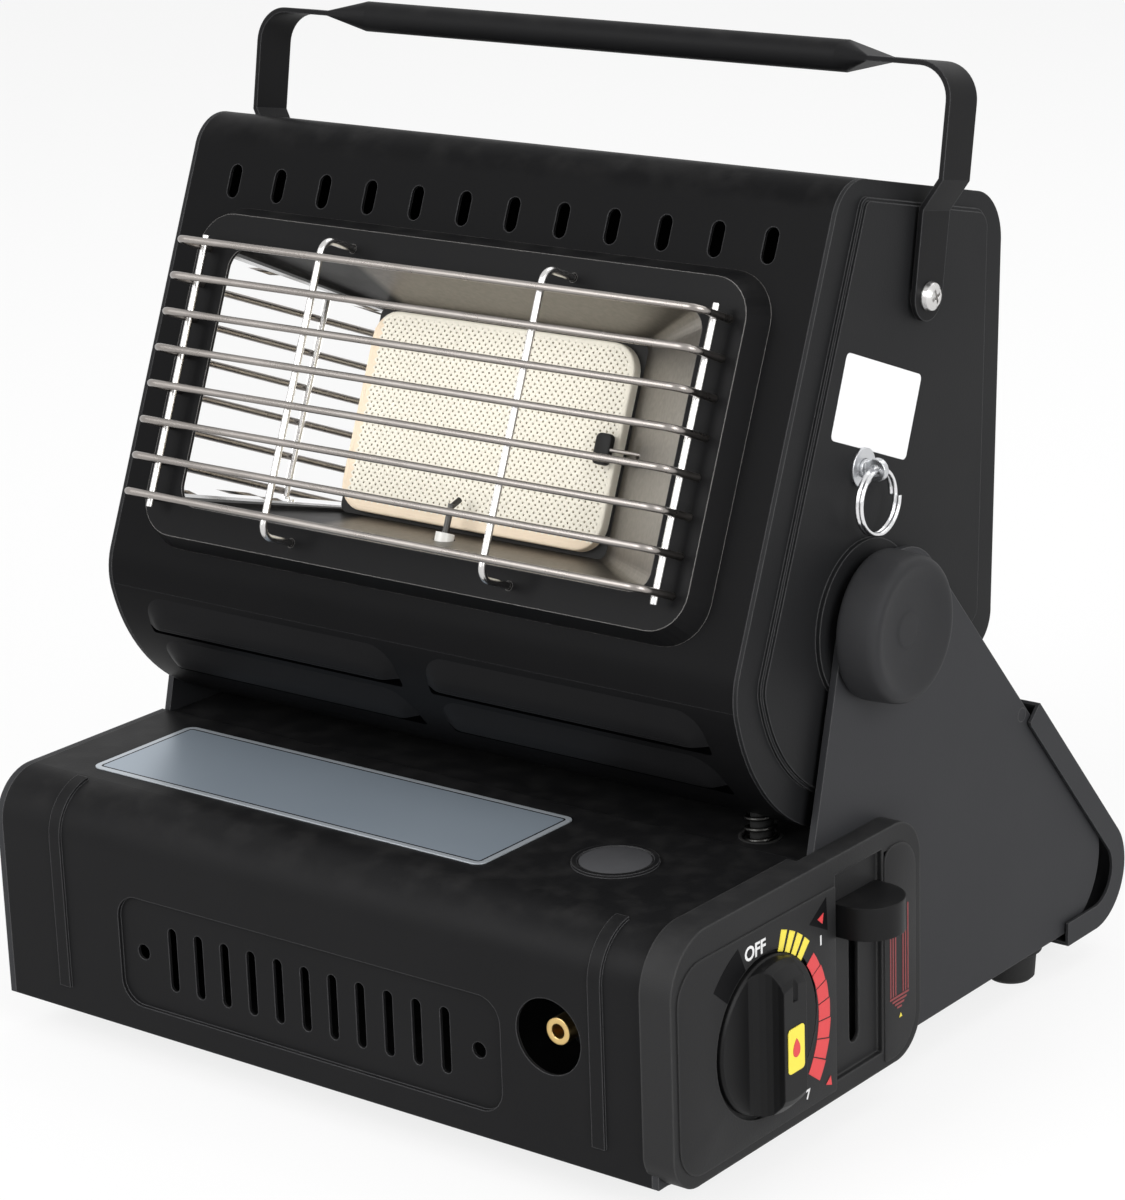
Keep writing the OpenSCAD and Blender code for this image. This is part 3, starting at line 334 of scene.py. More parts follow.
# Mask of the edges, where the finishes paint light and shade, and the rounded normal there
def makeEdge():
    outputs = {"Mask": "NodeSocketFloat", "Normal": "NodeSocketVector"}
    group, entry, leave = startGroup("edgeTrace", {"Radius": 0.0006, "Gain": 6}, outputs)
    bevel = addNode(group, "ShaderNodeBevel", samples=effects["edgeSamples"])
    geometry = addNode(group, "ShaderNodeNewGeometry")
    dot = addNode(group, "ShaderNodeVectorMath", operation="DOT_PRODUCT")
    away = addNode(group, "ShaderNodeMath", operation="SUBTRACT")
    away.inputs[0].default_value = effects["edgeStart"]
    gain = addNode(group, "ShaderNodeMath", operation="MULTIPLY", use_clamp=True)
    group.links.new(entry.outputs["Radius"], bevel.inputs["Radius"])
    group.links.new(bevel.outputs["Normal"], dot.inputs[0])
    group.links.new(geometry.outputs["Normal"], dot.inputs[1])
    group.links.new(dot.outputs["Value"], away.inputs[1])
    group.links.new(away.outputs[0], gain.inputs[0])
    group.links.new(entry.outputs["Gain"], gain.inputs[1])
    group.links.new(gain.outputs[0], leave.inputs["Mask"])
    group.links.new(bevel.outputs["Normal"], leave.inputs["Normal"])
    return group


def makeDust():
    group, entry, leave = startGroup("dustVeil", {"Amount": 0.1, "Size": 120}, {"Mask": "NodeSocketFloat"})
    coords = addNode(group, "ShaderNodeTexCoord")
    geometry = addNode(group, "ShaderNodeNewGeometry")
    split = addNode(group, "ShaderNodeSeparateXYZ")
    top = addNode(group, "ShaderNodeMapRange")
    top.inputs["From Min"].default_value = effects["dustSlope"]
    noise = addNode(group, "ShaderNodeTexNoise")
    noise.inputs["Detail"].default_value = effects["dustDetail"]
    speck = addNode(group, "ShaderNodeMapRange")
    speck.inputs["From Min"].default_value, speck.inputs["From Max"].default_value = effects["dustSpan"]
    both = addNode(group, "ShaderNodeMath", operation="MULTIPLY")
    amount = addNode(group, "ShaderNodeMath", operation="MULTIPLY", use_clamp=True)
    group.links.new(geometry.outputs["Normal"], split.inputs[0])
    group.links.new(split.outputs["Z"], top.inputs["Value"])
    group.links.new(coords.outputs["Object"], noise.inputs["Vector"])
    group.links.new(entry.outputs["Size"], noise.inputs["Scale"])
    group.links.new(noise.outputs["Fac"], speck.inputs["Value"])
    group.links.new(top.outputs[0], both.inputs[0])
    group.links.new(speck.outputs[0], both.inputs[1])
    group.links.new(both.outputs[0], amount.inputs[0])
    group.links.new(entry.outputs["Amount"], amount.inputs[1])
    group.links.new(amount.outputs[0], leave.inputs["Mask"])
    return group


coatGrain = makeGrain()
edgeTrace = makeEdge()
dustVeil = makeDust()


def placeGroup(tree, group, values):
    node = addNode(tree, "ShaderNodeGroup")
    node.node_tree = group
    for key, value in values.items():
        node.inputs[key].default_value = value
    return node


def mixColours(tree, factor, first, second):
    mix = addNode(tree, "ShaderNodeMix", data_type="RGBA")
    tree.links.new(factor, mix.inputs[0])
    for value, socket in ((first, mix.inputs[6]), (second, mix.inputs[7])):
        if isinstance(value, tuple):
            socket.default_value = (*value, 1)
        else:
            tree.links.new(value, socket)
    return mix.outputs[2]


def spread(tree, value, low, high):
    node = addNode(tree, "ShaderNodeMapRange")
    node.inputs["From Min"].default_value, node.inputs["From Max"].default_value = effects["mottleSpan"]
    node.inputs["To Min"].default_value = low
    node.inputs["To Max"].default_value = high
    tree.links.new(value, node.inputs["Value"])
    return node.outputs[0]


# A finish has two tones that mottle, a span of roughness, grain, dust, and edges painted in edgeTone: a
# painted highlight where that tone is lighter than the coat, a painted shade where it is darker
plainFinish = {
    "fine": 1600, "patch": 25, "bump": 0.25, "bumpHeight": 0.1, "edge": 0.5, "edgeGain": 4, "dust": 0.03,
    "dustTone": (0.32, 0.31, 0.3), "metal": 0, "gloss": 0.5,
}


def finish(name, tones, rough, **changes):
    look = {**plainFinish, "edgeTone": tones[1], **changes}
    material = bpy.data.materials.new(name)
    material.use_nodes = True
    tree = material.node_tree
    shader = tree.nodes["Principled BSDF"]
    grain = placeGroup(tree, coatGrain, {"Fine": look["fine"], "Patch": look["patch"]})
    edge = placeGroup(tree, edgeTrace, {"Radius": mm(look["edge"]), "Gain": look["edgeGain"]})
    dust = placeGroup(tree, dustVeil, {"Amount": look["dust"]})
    tone = mixColours(tree, grain.outputs["Mottle"], *tones)
    # Painted highlight on the edges, painted shade where edgeTone is darker than the coat
    edgePaintedLight = mixColours(tree, edge.outputs["Mask"], tone, look["edgeTone"])
    dusted = mixColours(tree, dust.outputs["Mask"], edgePaintedLight, look["dustTone"])
    tree.links.new(dusted, shader.inputs["Base Color"])
    tree.links.new(spread(tree, grain.outputs["Mottle"], *rough), shader.inputs["Roughness"])
    bump = addNode(tree, "ShaderNodeBump")
    bump.inputs["Strength"].default_value = look["bump"]
    bump.inputs["Distance"].default_value = mm(look["bumpHeight"])
    tree.links.new(grain.outputs["Height"], bump.inputs["Height"])
    tree.links.new(edge.outputs["Normal"], bump.inputs["Normal"])
    tree.links.new(bump.outputs["Normal"], shader.inputs["Normal"])
    shader.inputs["Metallic"].default_value = look["metal"]
    shader.inputs["Specular IOR Level"].default_value = look["gloss"]
    return material


satinBlack = finish(
    "satinBlackCoat", ((0.0075, 0.0075, 0.008), (0.0105, 0.0105, 0.011)), (0.4, 0.5),
    gloss=0.06, edgeTone=(0.09, 0.09, 0.093), edgeGain=6,
)
wrapBlack = finish(
    "headWrapCoat", ((0.004, 0.004, 0.0043), (0.006, 0.006, 0.0064)), (0.36, 0.46),
    gloss=0.035, edgeTone=(0.09, 0.09, 0.093), edgeGain=6,
)
# The scoops take the wrap's black painted lighter: a painted highlight where the louvre skin tilts up to
# the light
scoopBlack = finish(
    "scoopCoat", ((0.0054, 0.0054, 0.0058), (0.0074, 0.0074, 0.0079)), (0.38, 0.48),
    gloss=0.046, edgeTone=(0.03, 0.03, 0.031),
)
# The bezel's bright edgeTone paints a highlight line along its crest
bezelBlack = finish(
    "bezelCoat", ((0.005, 0.005, 0.0053), (0.0075, 0.0075, 0.0079)), (0.32, 0.42),
    gloss=0.06, edgeTone=(0.3, 0.29, 0.28), edge=0.4, edgeGain=9,
)
endGrey = finish(
    "endPlateCoat", ((0.008, 0.0082, 0.0088), (0.011, 0.0112, 0.012)), (0.46, 0.56),
    gloss=0.11, edgeTone=(0.09, 0.09, 0.092),
)
plateGrey = finish(
    "sidePlateCoat", ((0.023, 0.0234, 0.0256), (0.029, 0.0295, 0.0318)), (0.48, 0.58),
    gloss=0.12, edgeTone=(0.11, 0.11, 0.112),
)
panelBlack = finish(
    "sparkTexturedPlastic", ((0.011, 0.011, 0.0115), (0.017, 0.017, 0.0176)), (0.5, 0.66),
    fine=2400, bump=0.55, gloss=0.18, edgeTone=(0.06, 0.06, 0.06), edge=1,
)
thumbGrey = finish(
    "mattThumbPlastic", ((0.018, 0.0182, 0.0195), (0.025, 0.0253, 0.027)), (0.55, 0.68),
    fine=2400, bump=0.4, gloss=0.16, edgeTone=(0.06, 0.06, 0.062),
)
# The cap's dark edgeTone paints shade round its rim, the shadow of the recess wall
capGrey = finish(
    "mattCapPlastic", ((0.056, 0.0566, 0.06), (0.068, 0.0686, 0.073)), (0.55, 0.68),
    fine=2400, bump=0.4, gloss=0.16, edgeTone=(0.03, 0.03, 0.031),
)
knobBlack = finish(
    "mouldedKnobPlastic", ((0.004, 0.004, 0.0043), (0.007, 0.007, 0.0073)), (0.4, 0.52),
    fine=1400, bump=0.12, gloss=0.16,
)
# Blackened steel of the sensor tab; on the block behind the plaque the same finish is painted shade
sootSteelAndShade = finish(
    "blackenedSteelAndShade", ((0.006, 0.006, 0.006), (0.012, 0.0115, 0.011)), (0.45, 0.6),
    gloss=0.2, edgeTone=(0.04, 0.04, 0.04),
)
castAlloy = finish(
    "dieCastAlloy", ((0.42, 0.43, 0.44), (0.58, 0.59, 0.6)), (0.4, 0.58), metal=1, bump=0.3, fine=900,
)
turnedBrass = finish(
    "turnedBrass", ((0.62, 0.42, 0.16), (0.78, 0.57, 0.25)), (0.2, 0.34), metal=1, bump=0.08,
)
drawnCopper = finish(
    "drawnCopper", ((0.5, 0.25, 0.13), (0.7, 0.39, 0.23)), (0.25, 0.42), metal=1, bump=0.08,
)
softRubber = finish(
    "softRubber", ((0.009, 0.009, 0.009), (0.016, 0.016, 0.016)), (0.72, 0.88),
    gloss=0.3, fine=1100, bump=0.4,
)
zincSteel = finish(
    "zincPlatedSteel", ((0.5, 0.51, 0.53), (0.66, 0.67, 0.68)), (0.22, 0.38), metal=1, bump=0.08,
)
brightSteel = finish(
    "polishedSteel", ((0.56, 0.55, 0.54), (0.68, 0.67, 0.66)), (0.16, 0.28), metal=1, bump=0.05,
)
dullWire = finish(
    "dulledWire", ((0.24, 0.22, 0.205), (0.36, 0.335, 0.315)), (0.22, 0.36), metal=1, patch=60, bump=0.08,
)
darkWire = finish(
    "darkSpringWire", ((0.05, 0.05, 0.048), (0.09, 0.088, 0.085)), (0.3, 0.45), metal=1, bump=0.05,
)
ringChrome = finish(
    "chromedRing", ((0.72, 0.72, 0.73), (0.82, 0.82, 0.83)), (0.06, 0.12), metal=1, bump=0.02,
)
glazedWhite = finish(
    "glazedInsulator", ((0.78, 0.77, 0.73), (0.86, 0.85, 0.81)), (0.15, 0.25), bump=0.03,
)
plaqueCream = finish(
    "porousCeramic", ((0.88, 0.83, 0.71), (0.92, 0.88, 0.77)), (0.8, 0.95),
    fine=2600, bump=0.3, gloss=0.2, dust=0,
)
# Peach copy of the ceramic for the left and bottom margins: painted shade
plaqueShadePeach = finish(
    "porousCeramicShadedEdge", ((0.88, 0.72, 0.54), (0.91, 0.78, 0.61)), (0.8, 0.95),
    fine=2600, bump=0.3, gloss=0.2, dust=0,
)
holeShade = finish(
    "holeShade", ((0.26, 0.23, 0.15), (0.36, 0.32, 0.22)), (0.9, 1.0), gloss=0.1, dust=0,
)
foilBlue = finish(
    "silverBlueFoil", ((0.31, 0.37, 0.44), (0.38, 0.44, 0.5)), (0.3, 0.38),
    metal=0.4, bump=0.04, patch=9, dust=0,
)
foilEdge = finish(
    "brightFoilEdge", ((0.46, 0.5, 0.54), (0.54, 0.58, 0.62)), (0.3, 0.38),
    metal=0.4, bump=0.04, patch=9, dust=0,
)
printDark = finish(
    "printDark", ((0.003, 0.003, 0.0035), (0.005, 0.005, 0.0055)), (0.4, 0.5),
    gloss=0.05, bump=0.03, dust=0,
)
gapShade = finish(
    "gapShade", ((0.0006, 0.0006, 0.0007), (0.001, 0.001, 0.0011)), (0.8, 0.9),
    gloss=0, bump=0.02, dust=0,
)
stickerWhite = finish(
    "stickerWhite", ((0.78, 0.78, 0.79), (0.84, 0.84, 0.85)), (0.42, 0.55), bump=0.05,
)
printWhite = finish(
    "printWhite", ((0.7, 0.7, 0.7), (0.8, 0.8, 0.8)), (0.5, 0.6), bump=0.05,
)
printRed = finish(
    "printRed", ((0.56, 0.03, 0.035), (0.68, 0.05, 0.055)), (0.45, 0.55), bump=0.05,
)
printDarkRed = finish(
    "printDarkRed", ((0.16, 0.02, 0.022), (0.24, 0.03, 0.033)), (0.45, 0.55), bump=0.05,
)
printYellow = finish(
    "printYellow", ((0.72, 0.6, 0.04), (0.84, 0.7, 0.07)), (0.45, 0.55), bump=0.05,
)

slotLooks = {
    "black_coat": satinBlack, "grey_coat": plateGrey, "panel_plastic": panelBlack,
    "knob_plastic": knobBlack, "cast_alloy": castAlloy, "brass": turnedBrass,
    "copper_pipe": drawnCopper, "black_rubber": softRubber, "plain_steel": zincSteel,
    "bright_steel": brightSteel, "plaque_ceramic": plaqueCream, "insulator_ceramic": glazedWhite,
}


# Reflector: a mirror on the wing that faces the panel's side, dulled brown and sooted on the others
reflectorLook = {
    "mirror": (0.95, 0.95, 0.95), "dulled": (0.2, 0.185, 0.165), "sooted": (0.012, 0.012, 0.012),
    "streak": (0.05, 0.047, 0.042), "streakShare": 0.3, "fine": 500, "patch": 700,
    "polish": 0.02, "brush": 0.4,  # roughness of the mirror and of the rest
    "wing": (0.5, 0.58),  # how far a face turns to the panel's side, from dulled to mirror
    "soot": (-38, -34),  # where soot gives way to dulled metal, from the head's middle
}


def makeReflectorLook():
    material = bpy.data.materials.new("mirrorReflector")
    material.use_nodes = True
    tree = material.node_tree
    shader = tree.nodes["Principled BSDF"]
    coords = addNode(tree, "ShaderNodeTexCoord")
    spot = addNode(tree, "ShaderNodeSeparateXYZ")
    tree.links.new(coords.outputs["Object"], spot.inputs[0])
    geometry = addNode(tree, "ShaderNodeNewGeometry")
    direction = addNode(tree, "ShaderNodeSeparateXYZ")
    tree.links.new(geometry.outputs["Normal"], direction.inputs[0])
    wing = addNode(tree, "ShaderNodeMapRange")
    wing.inputs["From Min"].default_value, wing.inputs["From Max"].default_value = reflectorLook["wing"]
    tree.links.new(direction.outputs["X"], wing.inputs["Value"])
    along = addNode(tree, "ShaderNodeMapRange")
    sootSpan = (headMiddle + mm(value) for value in reflectorLook["soot"])
    along.inputs["From Min"].default_value, along.inputs["From Max"].default_value = sootSpan
    tree.links.new(spot.outputs["X"], along.inputs["Value"])
    grain = placeGroup(tree, coatGrain, {"Fine": reflectorLook["fine"], "Patch": reflectorLook["patch"]})
    dulled = mixColours(tree, along.outputs[0], reflectorLook["sooted"], reflectorLook["dulled"])
    streak = spread(tree, grain.outputs["Mottle"], 0, reflectorLook["streakShare"])
    mottled = mixColours(tree, streak, dulled, reflectorLook["streak"])
    tone = mixColours(tree, wing.outputs[0], mottled, reflectorLook["mirror"])
    tree.links.new(tone, shader.inputs["Base Color"])
    polish = addNode(tree, "ShaderNodeMapRange")
    polish.inputs["To Min"].default_value = reflectorLook["brush"]
    polish.inputs["To Max"].default_value = reflectorLook["polish"]
    tree.links.new(wing.outputs[0], polish.inputs["Value"])
    tree.links.new(polish.outputs[0], shader.inputs["Roughness"])
    shader.inputs["Metallic"].default_value = 1
    return material


nodeLooks = {
    "reflector": makeReflectorLook(), "spark_electrode": darkWire, "head_wrap": wrapBlack,
    "burner_bezel": bezelBlack, "head_end_left": endGrey, "head_end_right": endGrey, "rear_lid": plateGrey,
    "guard_rails": dullWire, "lid_pin_left": plateGrey, "lid_pin_right": plateGrey,
}
for subpart in frame["record"]["subparts"]:
    node = nodes[subpart["node"]]
    node.data.materials.clear()
    node.data.materials.append(nodeLooks.get(subpart["node"], slotLooks[subpart["material_slot"]]))
print("finishes on the CAD nodes ready")


# Plates and prints start as a plane with rounded corners, left in edit mode to be thickened
def startPlate(width, height, corner, segments=5):
    deselect()
    bpy.ops.mesh.primitive_plane_add(size=1)
    piece = bpy.context.object
    openEdit(piece)
    bpy.ops.mesh.select_all(action="SELECT")
    bpy.ops.transform.resize(value=(mm(width), mm(height), 1))
    if corner:
        bpy.ops.mesh.bevel(offset=mm(corner), segments=segments, affect="VERTICES")
    return piece


def thicken(piece, rise):
    bpy.ops.mesh.select_all(action="SELECT")
    bpy.ops.mesh.extrude_region_move(TRANSFORM_OT_translate={"value": (0, 0, mm(rise))})
    bpy.ops.mesh.select_all(action="SELECT")
    bpy.ops.mesh.normals_make_consistent(inside=False)
    bpy.ops.object.mode_set(mode="OBJECT")
    return piece


# The faces that are selected in edit mode take the material of a slot
def paint(piece, slotNumber):
    piece.active_material_index = slotNumber
    bpy.ops.object.material_slot_assign()


def paintAll(piece, slotNumber):
    openEdit(piece)
    bpy.ops.mesh.select_all(action="SELECT")
    paint(piece, slotNumber)
    bpy.ops.object.mode_set(mode="OBJECT")


# The rim of a thickened piece's upper face is rounded off
def bevelTop(piece, rise, offset, segments=2):
    openEdit(piece, "EDGE")
    high = mm(rise) * nearTop
    selectIn(piece, "EDGE", lambda start, end: start.z > high and end.z > high)
    bpy.ops.mesh.bevel(offset=mm(offset), segments=segments)
    bpy.ops.object.mode_set(mode="OBJECT")


# Bare plate with a border, a thin line and a plain field
def framedPlate(sizes, materials):
    piece = thicken(startPlate(sizes["width"], sizes["height"], sizes["corner"]), sizes["thick"])
    coat(piece, materials)
    openEdit(piece)
    selectIn(piece, "FACE", lambda centre, normal: normal.z > facing)
    bpy.ops.mesh.inset(thickness=mm(sizes["border"]))
    paint(piece, 1)
    bpy.ops.mesh.inset(thickness=mm(sizes["line"]))
    paint(piece, 2)
    bpy.ops.object.mode_set(mode="OBJECT")
    return piece


shellLap = 1  # the shell's front stands this far before the floor pan
baseMiddle = middleOf("base_floor").x
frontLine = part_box("base_floor")[0].y - mm(shellLap)
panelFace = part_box("control_panel")[1].x
acrossX, alongY, upZ = Vector((1, 0, 0)), Vector((0, 1, 0)), Vector((0, 0, 1))

# Foil plate on the base top, measured from the base's middle and its front
foil = {
    "width": 139.9, "height": 40.9, "corner": 3, "thick": 0.25, "border": 1.7, "line": 0.55,
    "middle": (-25.55, 40.15), "level": 76,
}


def makeFoil():
    piece = framedPlate(foil, (foilEdge, printDark, foilBlue))
    x, y = foil["middle"]
    spot = Vector((baseMiddle + mm(x), frontLine + mm(y), mm(foil["level"])))
    place(piece, axesMatrix(spot, acrossX, alongY))
    settle(piece, "foil_plate", "base", ())


# Bare sticker on the end plate of the head, measured from the tilt axis
sticker = {
    "width": 37, "height": 22.6, "corner": 1.5, "thick": 0.12, "border": 0.6, "line": 0.12,
    "from": (7.0, 55.35), "lean": -20.8, "boss": 1.4,
}


def makeSticker():
    piece = framedPlate(sticker, (stickerWhite, stickerWhite, stickerWhite))
    lean = math.radians(sticker["lean"])
    y, z = sticker["from"]
    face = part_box("head_end_right")[1].x - mm(sticker["boss"])
    spot = Vector((face, tiltAxis.y + mm(y), tiltAxis.z + mm(z)))
    across = Vector((0, math.cos(lean), math.sin(lean)))
    place(piece, axesMatrix(spot, across, Vector((0, -math.sin(lean), math.cos(lean)))))
    settle(piece, "side_sticker", "head", ())


# Sheets on the panel, left and right of the lever channel, measured from the knob's middle
# Their corners run anticlockwise from the lower left one
sheet = {
    "thick": 0.4, "bevel": 0.15, "cornerSteps": 8, "near": 0.1, "hole": 22.2, "holeSides": 72, "cut": 4,
    "left": {"from": (-38, -27.4), "to": (31.2, 29.9), "corners": (10, 1, 1, 10)},
    "right": {"from": (54.2, -28.4), "to": (69.2, 32), "corners": (1, 11, 9, 4)},
}
knobSpot = middleOf("gas_knob")
panelFrame = axesMatrix(Vector((panelFace, knobSpot.y, knobSpot.z)), alongY, upZ)
dialFrame = panelFrame @ Matrix.Translation((0, 0, mm(sheet["thick"])))


def makeSheets():
    for word in ("left", "right"):
        sizes = sheet[word]
        (left, low), (right, high) = sizes["from"], sizes["to"]
        piece = startPlate(right - left, high - low, 0)
        middle = Vector((mm(left + right) / 2, mm(low + high) / 2, 0))
        halfWide, halfHigh = mm(right - left) / 2, mm(high - low) / 2
        spots = [(-halfWide, -halfHigh), (halfWide, -halfHigh), (halfWide, halfHigh), (-halfWide, halfHigh)]
        for (x, y), radius in zip(spots, sizes["corners"]):
            selectIn(piece, "VERT", lambda spot: math.hypot(spot.x - x, spot.y - y) < mm(sheet["near"]))
            bpy.ops.mesh.bevel(offset=mm(radius), segments=sheet["cornerSteps"], affect="VERTICES")
        thicken(piece, sheet["thick"])
        bevelTop(piece, sheet["thick"], sheet["bevel"])
        place(piece, Matrix.Translation(middle))
        if word == "left":
            deselect()
            bpy.ops.mesh.primitive_cylinder_add(
                vertices=sheet["holeSides"], radius=mm(sheet["hole"]), depth=mm(sheet["cut"])
            )
            cutter = bpy.context.object
            applyModifier(piece, "BOOLEAN", object=cutter, operation="DIFFERENCE", solver="EXACT")
            bpy.data.objects.remove(cutter)
        place(piece, panelFrame)
        settle(piece, f"panel_sheet_{word}", "base", (panelBlack,))


# Dial round the gas knob: turns run clockwise from the top, about the scale's own middle
dial = {
    "middle": (-2.1, -2.8),
    "bars": {"count": 4, "from": 15.5, "to": 45.5, "inner": 24.6, "outer": (30.2, 30.2), "share": 0.72},
    "steps": {"count": 7, "from": 52, "to": 127, "inner": 25, "outer": (29, 31.3), "share": 0.94},
    "rise": 0.06,
    "arcSteps": 6,
    "bold": 0.14,
    "off": {"words": "OFF", "size": 5.2, "spot": (-4.9, 24.3)},
    "low": {"words": "1", "size": 3.6, "spot": (24.2, 17)},
    "high": {"words": "7", "size": 3.6, "spot": (17.6, -23.4)},
    "marks": [
        {"spot": (24.4, 23), "point": 160, "size": 1.7},
        {"spot": (27.5, -23.5), "point": 20, "size": 1.7},
    ],
    "shadeMark": {"spot": (24.4, 23.4), "point": 27, "size": 5.4},
    "shadeArc": {"inner": 22.4, "outer": 30, "turn": -37, "sweep": 26},
}


def clockTurn(degrees):
    return Matrix.Rotation(-math.radians(degrees), 4, "Z")


# An arc is one edge of a plane, moved onto the turning line and spun
def arcBar(inner, outer, turn, sweep):
    deselect()
    bpy.ops.mesh.primitive_plane_add(size=1)
    piece = bpy.context.object
    openEdit(piece, "VERT")
    selectIn(piece, "VERT", lambda spot: spot.x > 0)
    bpy.ops.mesh.delete(type="VERT")
    bpy.ops.mesh.select_all(action="SELECT")
    bpy.ops.transform.resize(value=(1, mm(outer - inner), 1))
    bpy.ops.transform.translate(value=(0.5, mm(inner + outer) / 2, 0))
    bpy.ops.mesh.spin(steps=dial["arcSteps"], angle=math.radians(sweep), center=(0, 0, 0), axis=(0, 0, 1))
    thicken(piece, dial["rise"])
    middle = sum((vertex.co for vertex in piece.data.vertices), Vector()) / len(piece.data.vertices)
    place(piece, clockTurn(turn - math.degrees(math.atan2(middle.x, middle.y))))
    return piece


def onDial(spot):
    return Matrix.Translation((mm(spot[0]), mm(spot[1]), 0))


def arcScale(scale, name, material):
    pitch = (scale["to"] - scale["from"]) / scale["count"]
    first, last = scale["outer"]
    bars = []
    for number in range(scale["count"]):
        turn = scale["from"] + (number + 0.5) * pitch
        outer = first + (last - first) * number / (scale["count"] - 1)
        bars.append(arcBar(scale["inner"], outer, turn, pitch * scale["share"]))
    piece = joinPieces(bars)
    place(piece, dialFrame @ onDial(dial["middle"]))
    settle(piece, name, "base", (material,))


def flatWords(label):
    deselect()
    bpy.ops.object.text_add()
    piece = bpy.context.object
    piece.data.body = label["words"]
    piece.data.size = mm(label["size"])
    piece.data.align_x = "CENTER"
    piece.data.align_y = "CENTER"
    piece.data.offset = mm(dial["bold"])
    piece.data.extrude = mm(dial["rise"] / 2)
    bpy.ops.object.convert(target="MESH")
    piece = bpy.context.object
    place(piece, onDial(label["spot"]) @ Matrix.Translation((0, 0, mm(dial["rise"] / 2))))
    return piece


# A mark is a triangle
def smallMark(mark):
    deselect()
    bpy.ops.mesh.primitive_circle_add(vertices=3, radius=mm(mark["size"]), fill_type="NGON")
    piece = bpy.context.object
    openEdit(piece)
    thicken(piece, dial["rise"])
    place(piece, onDial(mark["spot"]) @ clockTurn(mark["point"]))
    return piece


def makeDial():
    arcScale(dial["bars"], "dial_yellow_bars", printYellow)
    arcScale(dial["steps"], "dial_red_steps", printRed)
    words = joinPieces([flatWords(dial[key]) for key in ("off", "low", "high")])
    place(words, dialFrame)
    settle(words, "dial_words", "base", (printWhite,))
    marks = joinPieces([smallMark(mark) for mark in dial["marks"]])
    place(marks, dialFrame @ Matrix.Translation((0, 0, mm(dial["rise"] / 2))))
    settle(marks, "dial_marks", "base", (printRed,))
    arc = dial["shadeArc"]
    shades = [smallMark(dial["shadeMark"]), arcBar(arc["inner"], arc["outer"], arc["turn"], arc["sweep"])]
    shade = joinPieces(shades)
    place(shade, dialFrame @ Matrix.Translation((0, 0, -mm(dial["rise"] / 2))))
    settle(shade, "dial_shades", "base", (printDark,))


# Arrow of stripes beside the lever, with a pale mark under its tip
arrow = {
    "middle": 61, "top": 14, "foot": -10.8, "tip": -15, "half": 4.2, "pairs": 3, "stripe": 0.6, "gap": 0.6,
    "bars": 4, "barShare": 0.6, "overhang": 0.4, "corner": 0.2, "cornerSteps": 2,
    "mark": {"spot": (61.6, -17.2), "point": 0, "size": 0.9},
}


def printStripe(width, height):
    return thicken(startPlate(width, height, arrow["corner"], arrow["cornerSteps"]), dial["rise"])


def makeArrow():
    length = arrow["top"] - arrow["foot"]
    model = printStripe(arrow["stripe"], length)
    stripes = []
    for number in range(arrow["pairs"]):
        for side in (-1, 1):
            x = arrow["middle"] + side * (arrow["half"] - number * (arrow["stripe"] + arrow["gap"]))
            stripes.append(placeCopy(model, onDial((x, arrow["foot"] + length / 2))))
    bpy.data.objects.remove(model)
    drop = (arrow["foot"] - arrow["tip"]) / arrow["bars"]
    for number in range(arrow["bars"]):
        width = 2 * (arrow["half"] + arrow["overhang"]) * (1 - number / arrow["bars"])
        bar = printStripe(width, drop * arrow["barShare"])
        place(bar, onDial((arrow["middle"], arrow["foot"] - (number + 0.5) * drop)))
        stripes.append(bar)
    piece = joinPieces(stripes)
    place(piece, dialFrame)
    settle(piece, "lever_arrow", "base", (printDarkRed,))
    mark = smallMark(arrow["mark"])
    place(mark, dialFrame)
    settle(mark, "lever_mark", "base", (printYellow,))


# Yellow tag with a red drop on the knob's bar
tag = {
    "width": 7.2, "height": 12.2, "corner": 1.2, "thick": 0.18, "below": 1.9,
    "drop": 1.6, "dropSides": 24, "dropRise": 0.06, "dropBelow": 0.6,
    "tip": 2.0, "tipShare": 0.99, "pull": 2.4,
}


def makeTag():
    spot = Vector((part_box("gas_knob")[1].x, knobSpot.y, knobSpot.z - mm(tag["below"])))
    tagFrame = axesMatrix(spot, alongY, upZ)
    piece = thicken(startPlate(tag["width"], tag["height"], tag["corner"]), tag["thick"])
    place(piece, tagFrame)
    settle(piece, "knob_tag", "knob", (printYellow,))
    deselect()
    bpy.ops.mesh.primitive_circle_add(vertices=tag["dropSides"], radius=mm(tag["drop"]), fill_type="NGON")
    drop = bpy.context.object
    openEdit(drop, "VERT")
    selectIn(drop, "VERT", lambda spot: spot.y > mm(tag["drop"]) * tag["tipShare"])
    bpy.ops.transform.translate(
        value=(0, mm(tag["tip"]), 0), use_proportional_edit=True, proportional_edit_falloff="SHARP",
        proportional_size=mm(tag["pull"] * tag["drop"]),
    )
    thicken(drop, tag["dropRise"])
    place(drop, tagFrame @ Matrix.Translation((0, -mm(tag["dropBelow"]), mm(tag["thick"]))))
    settle(drop, "knob_tag_drop", "knob", (printRed,))


makeFoil()
makeSticker()
makeSheets()
makeDial()
makeArrow()
makeTag()
print("plates and prints ready")


# Perforated burner plaque: a block with a pocket, under a sheet of fine holes in slanting rows
plaque = {
    "width": 90, "height": 56, "corner": 8, "cornerSteps": 8, "rise": 4, "out": 31, "up": 31,
    "bevel": 0.6, "bevelSteps": 3, "margin": 1, "pocket": 2, "edge": 3, "level": 0.99,
    "shoulder": 3, "shoulderCorner": 5, "deep": 13, "overlap": 1,  # wider block behind it
    "cell": 1.5, "turn": 45, "wall": 0.5, "hole": 1, "lap": 0.5, "cover": 0.03,
    "plain": 2.2,  # strip without holes on the left and below
}


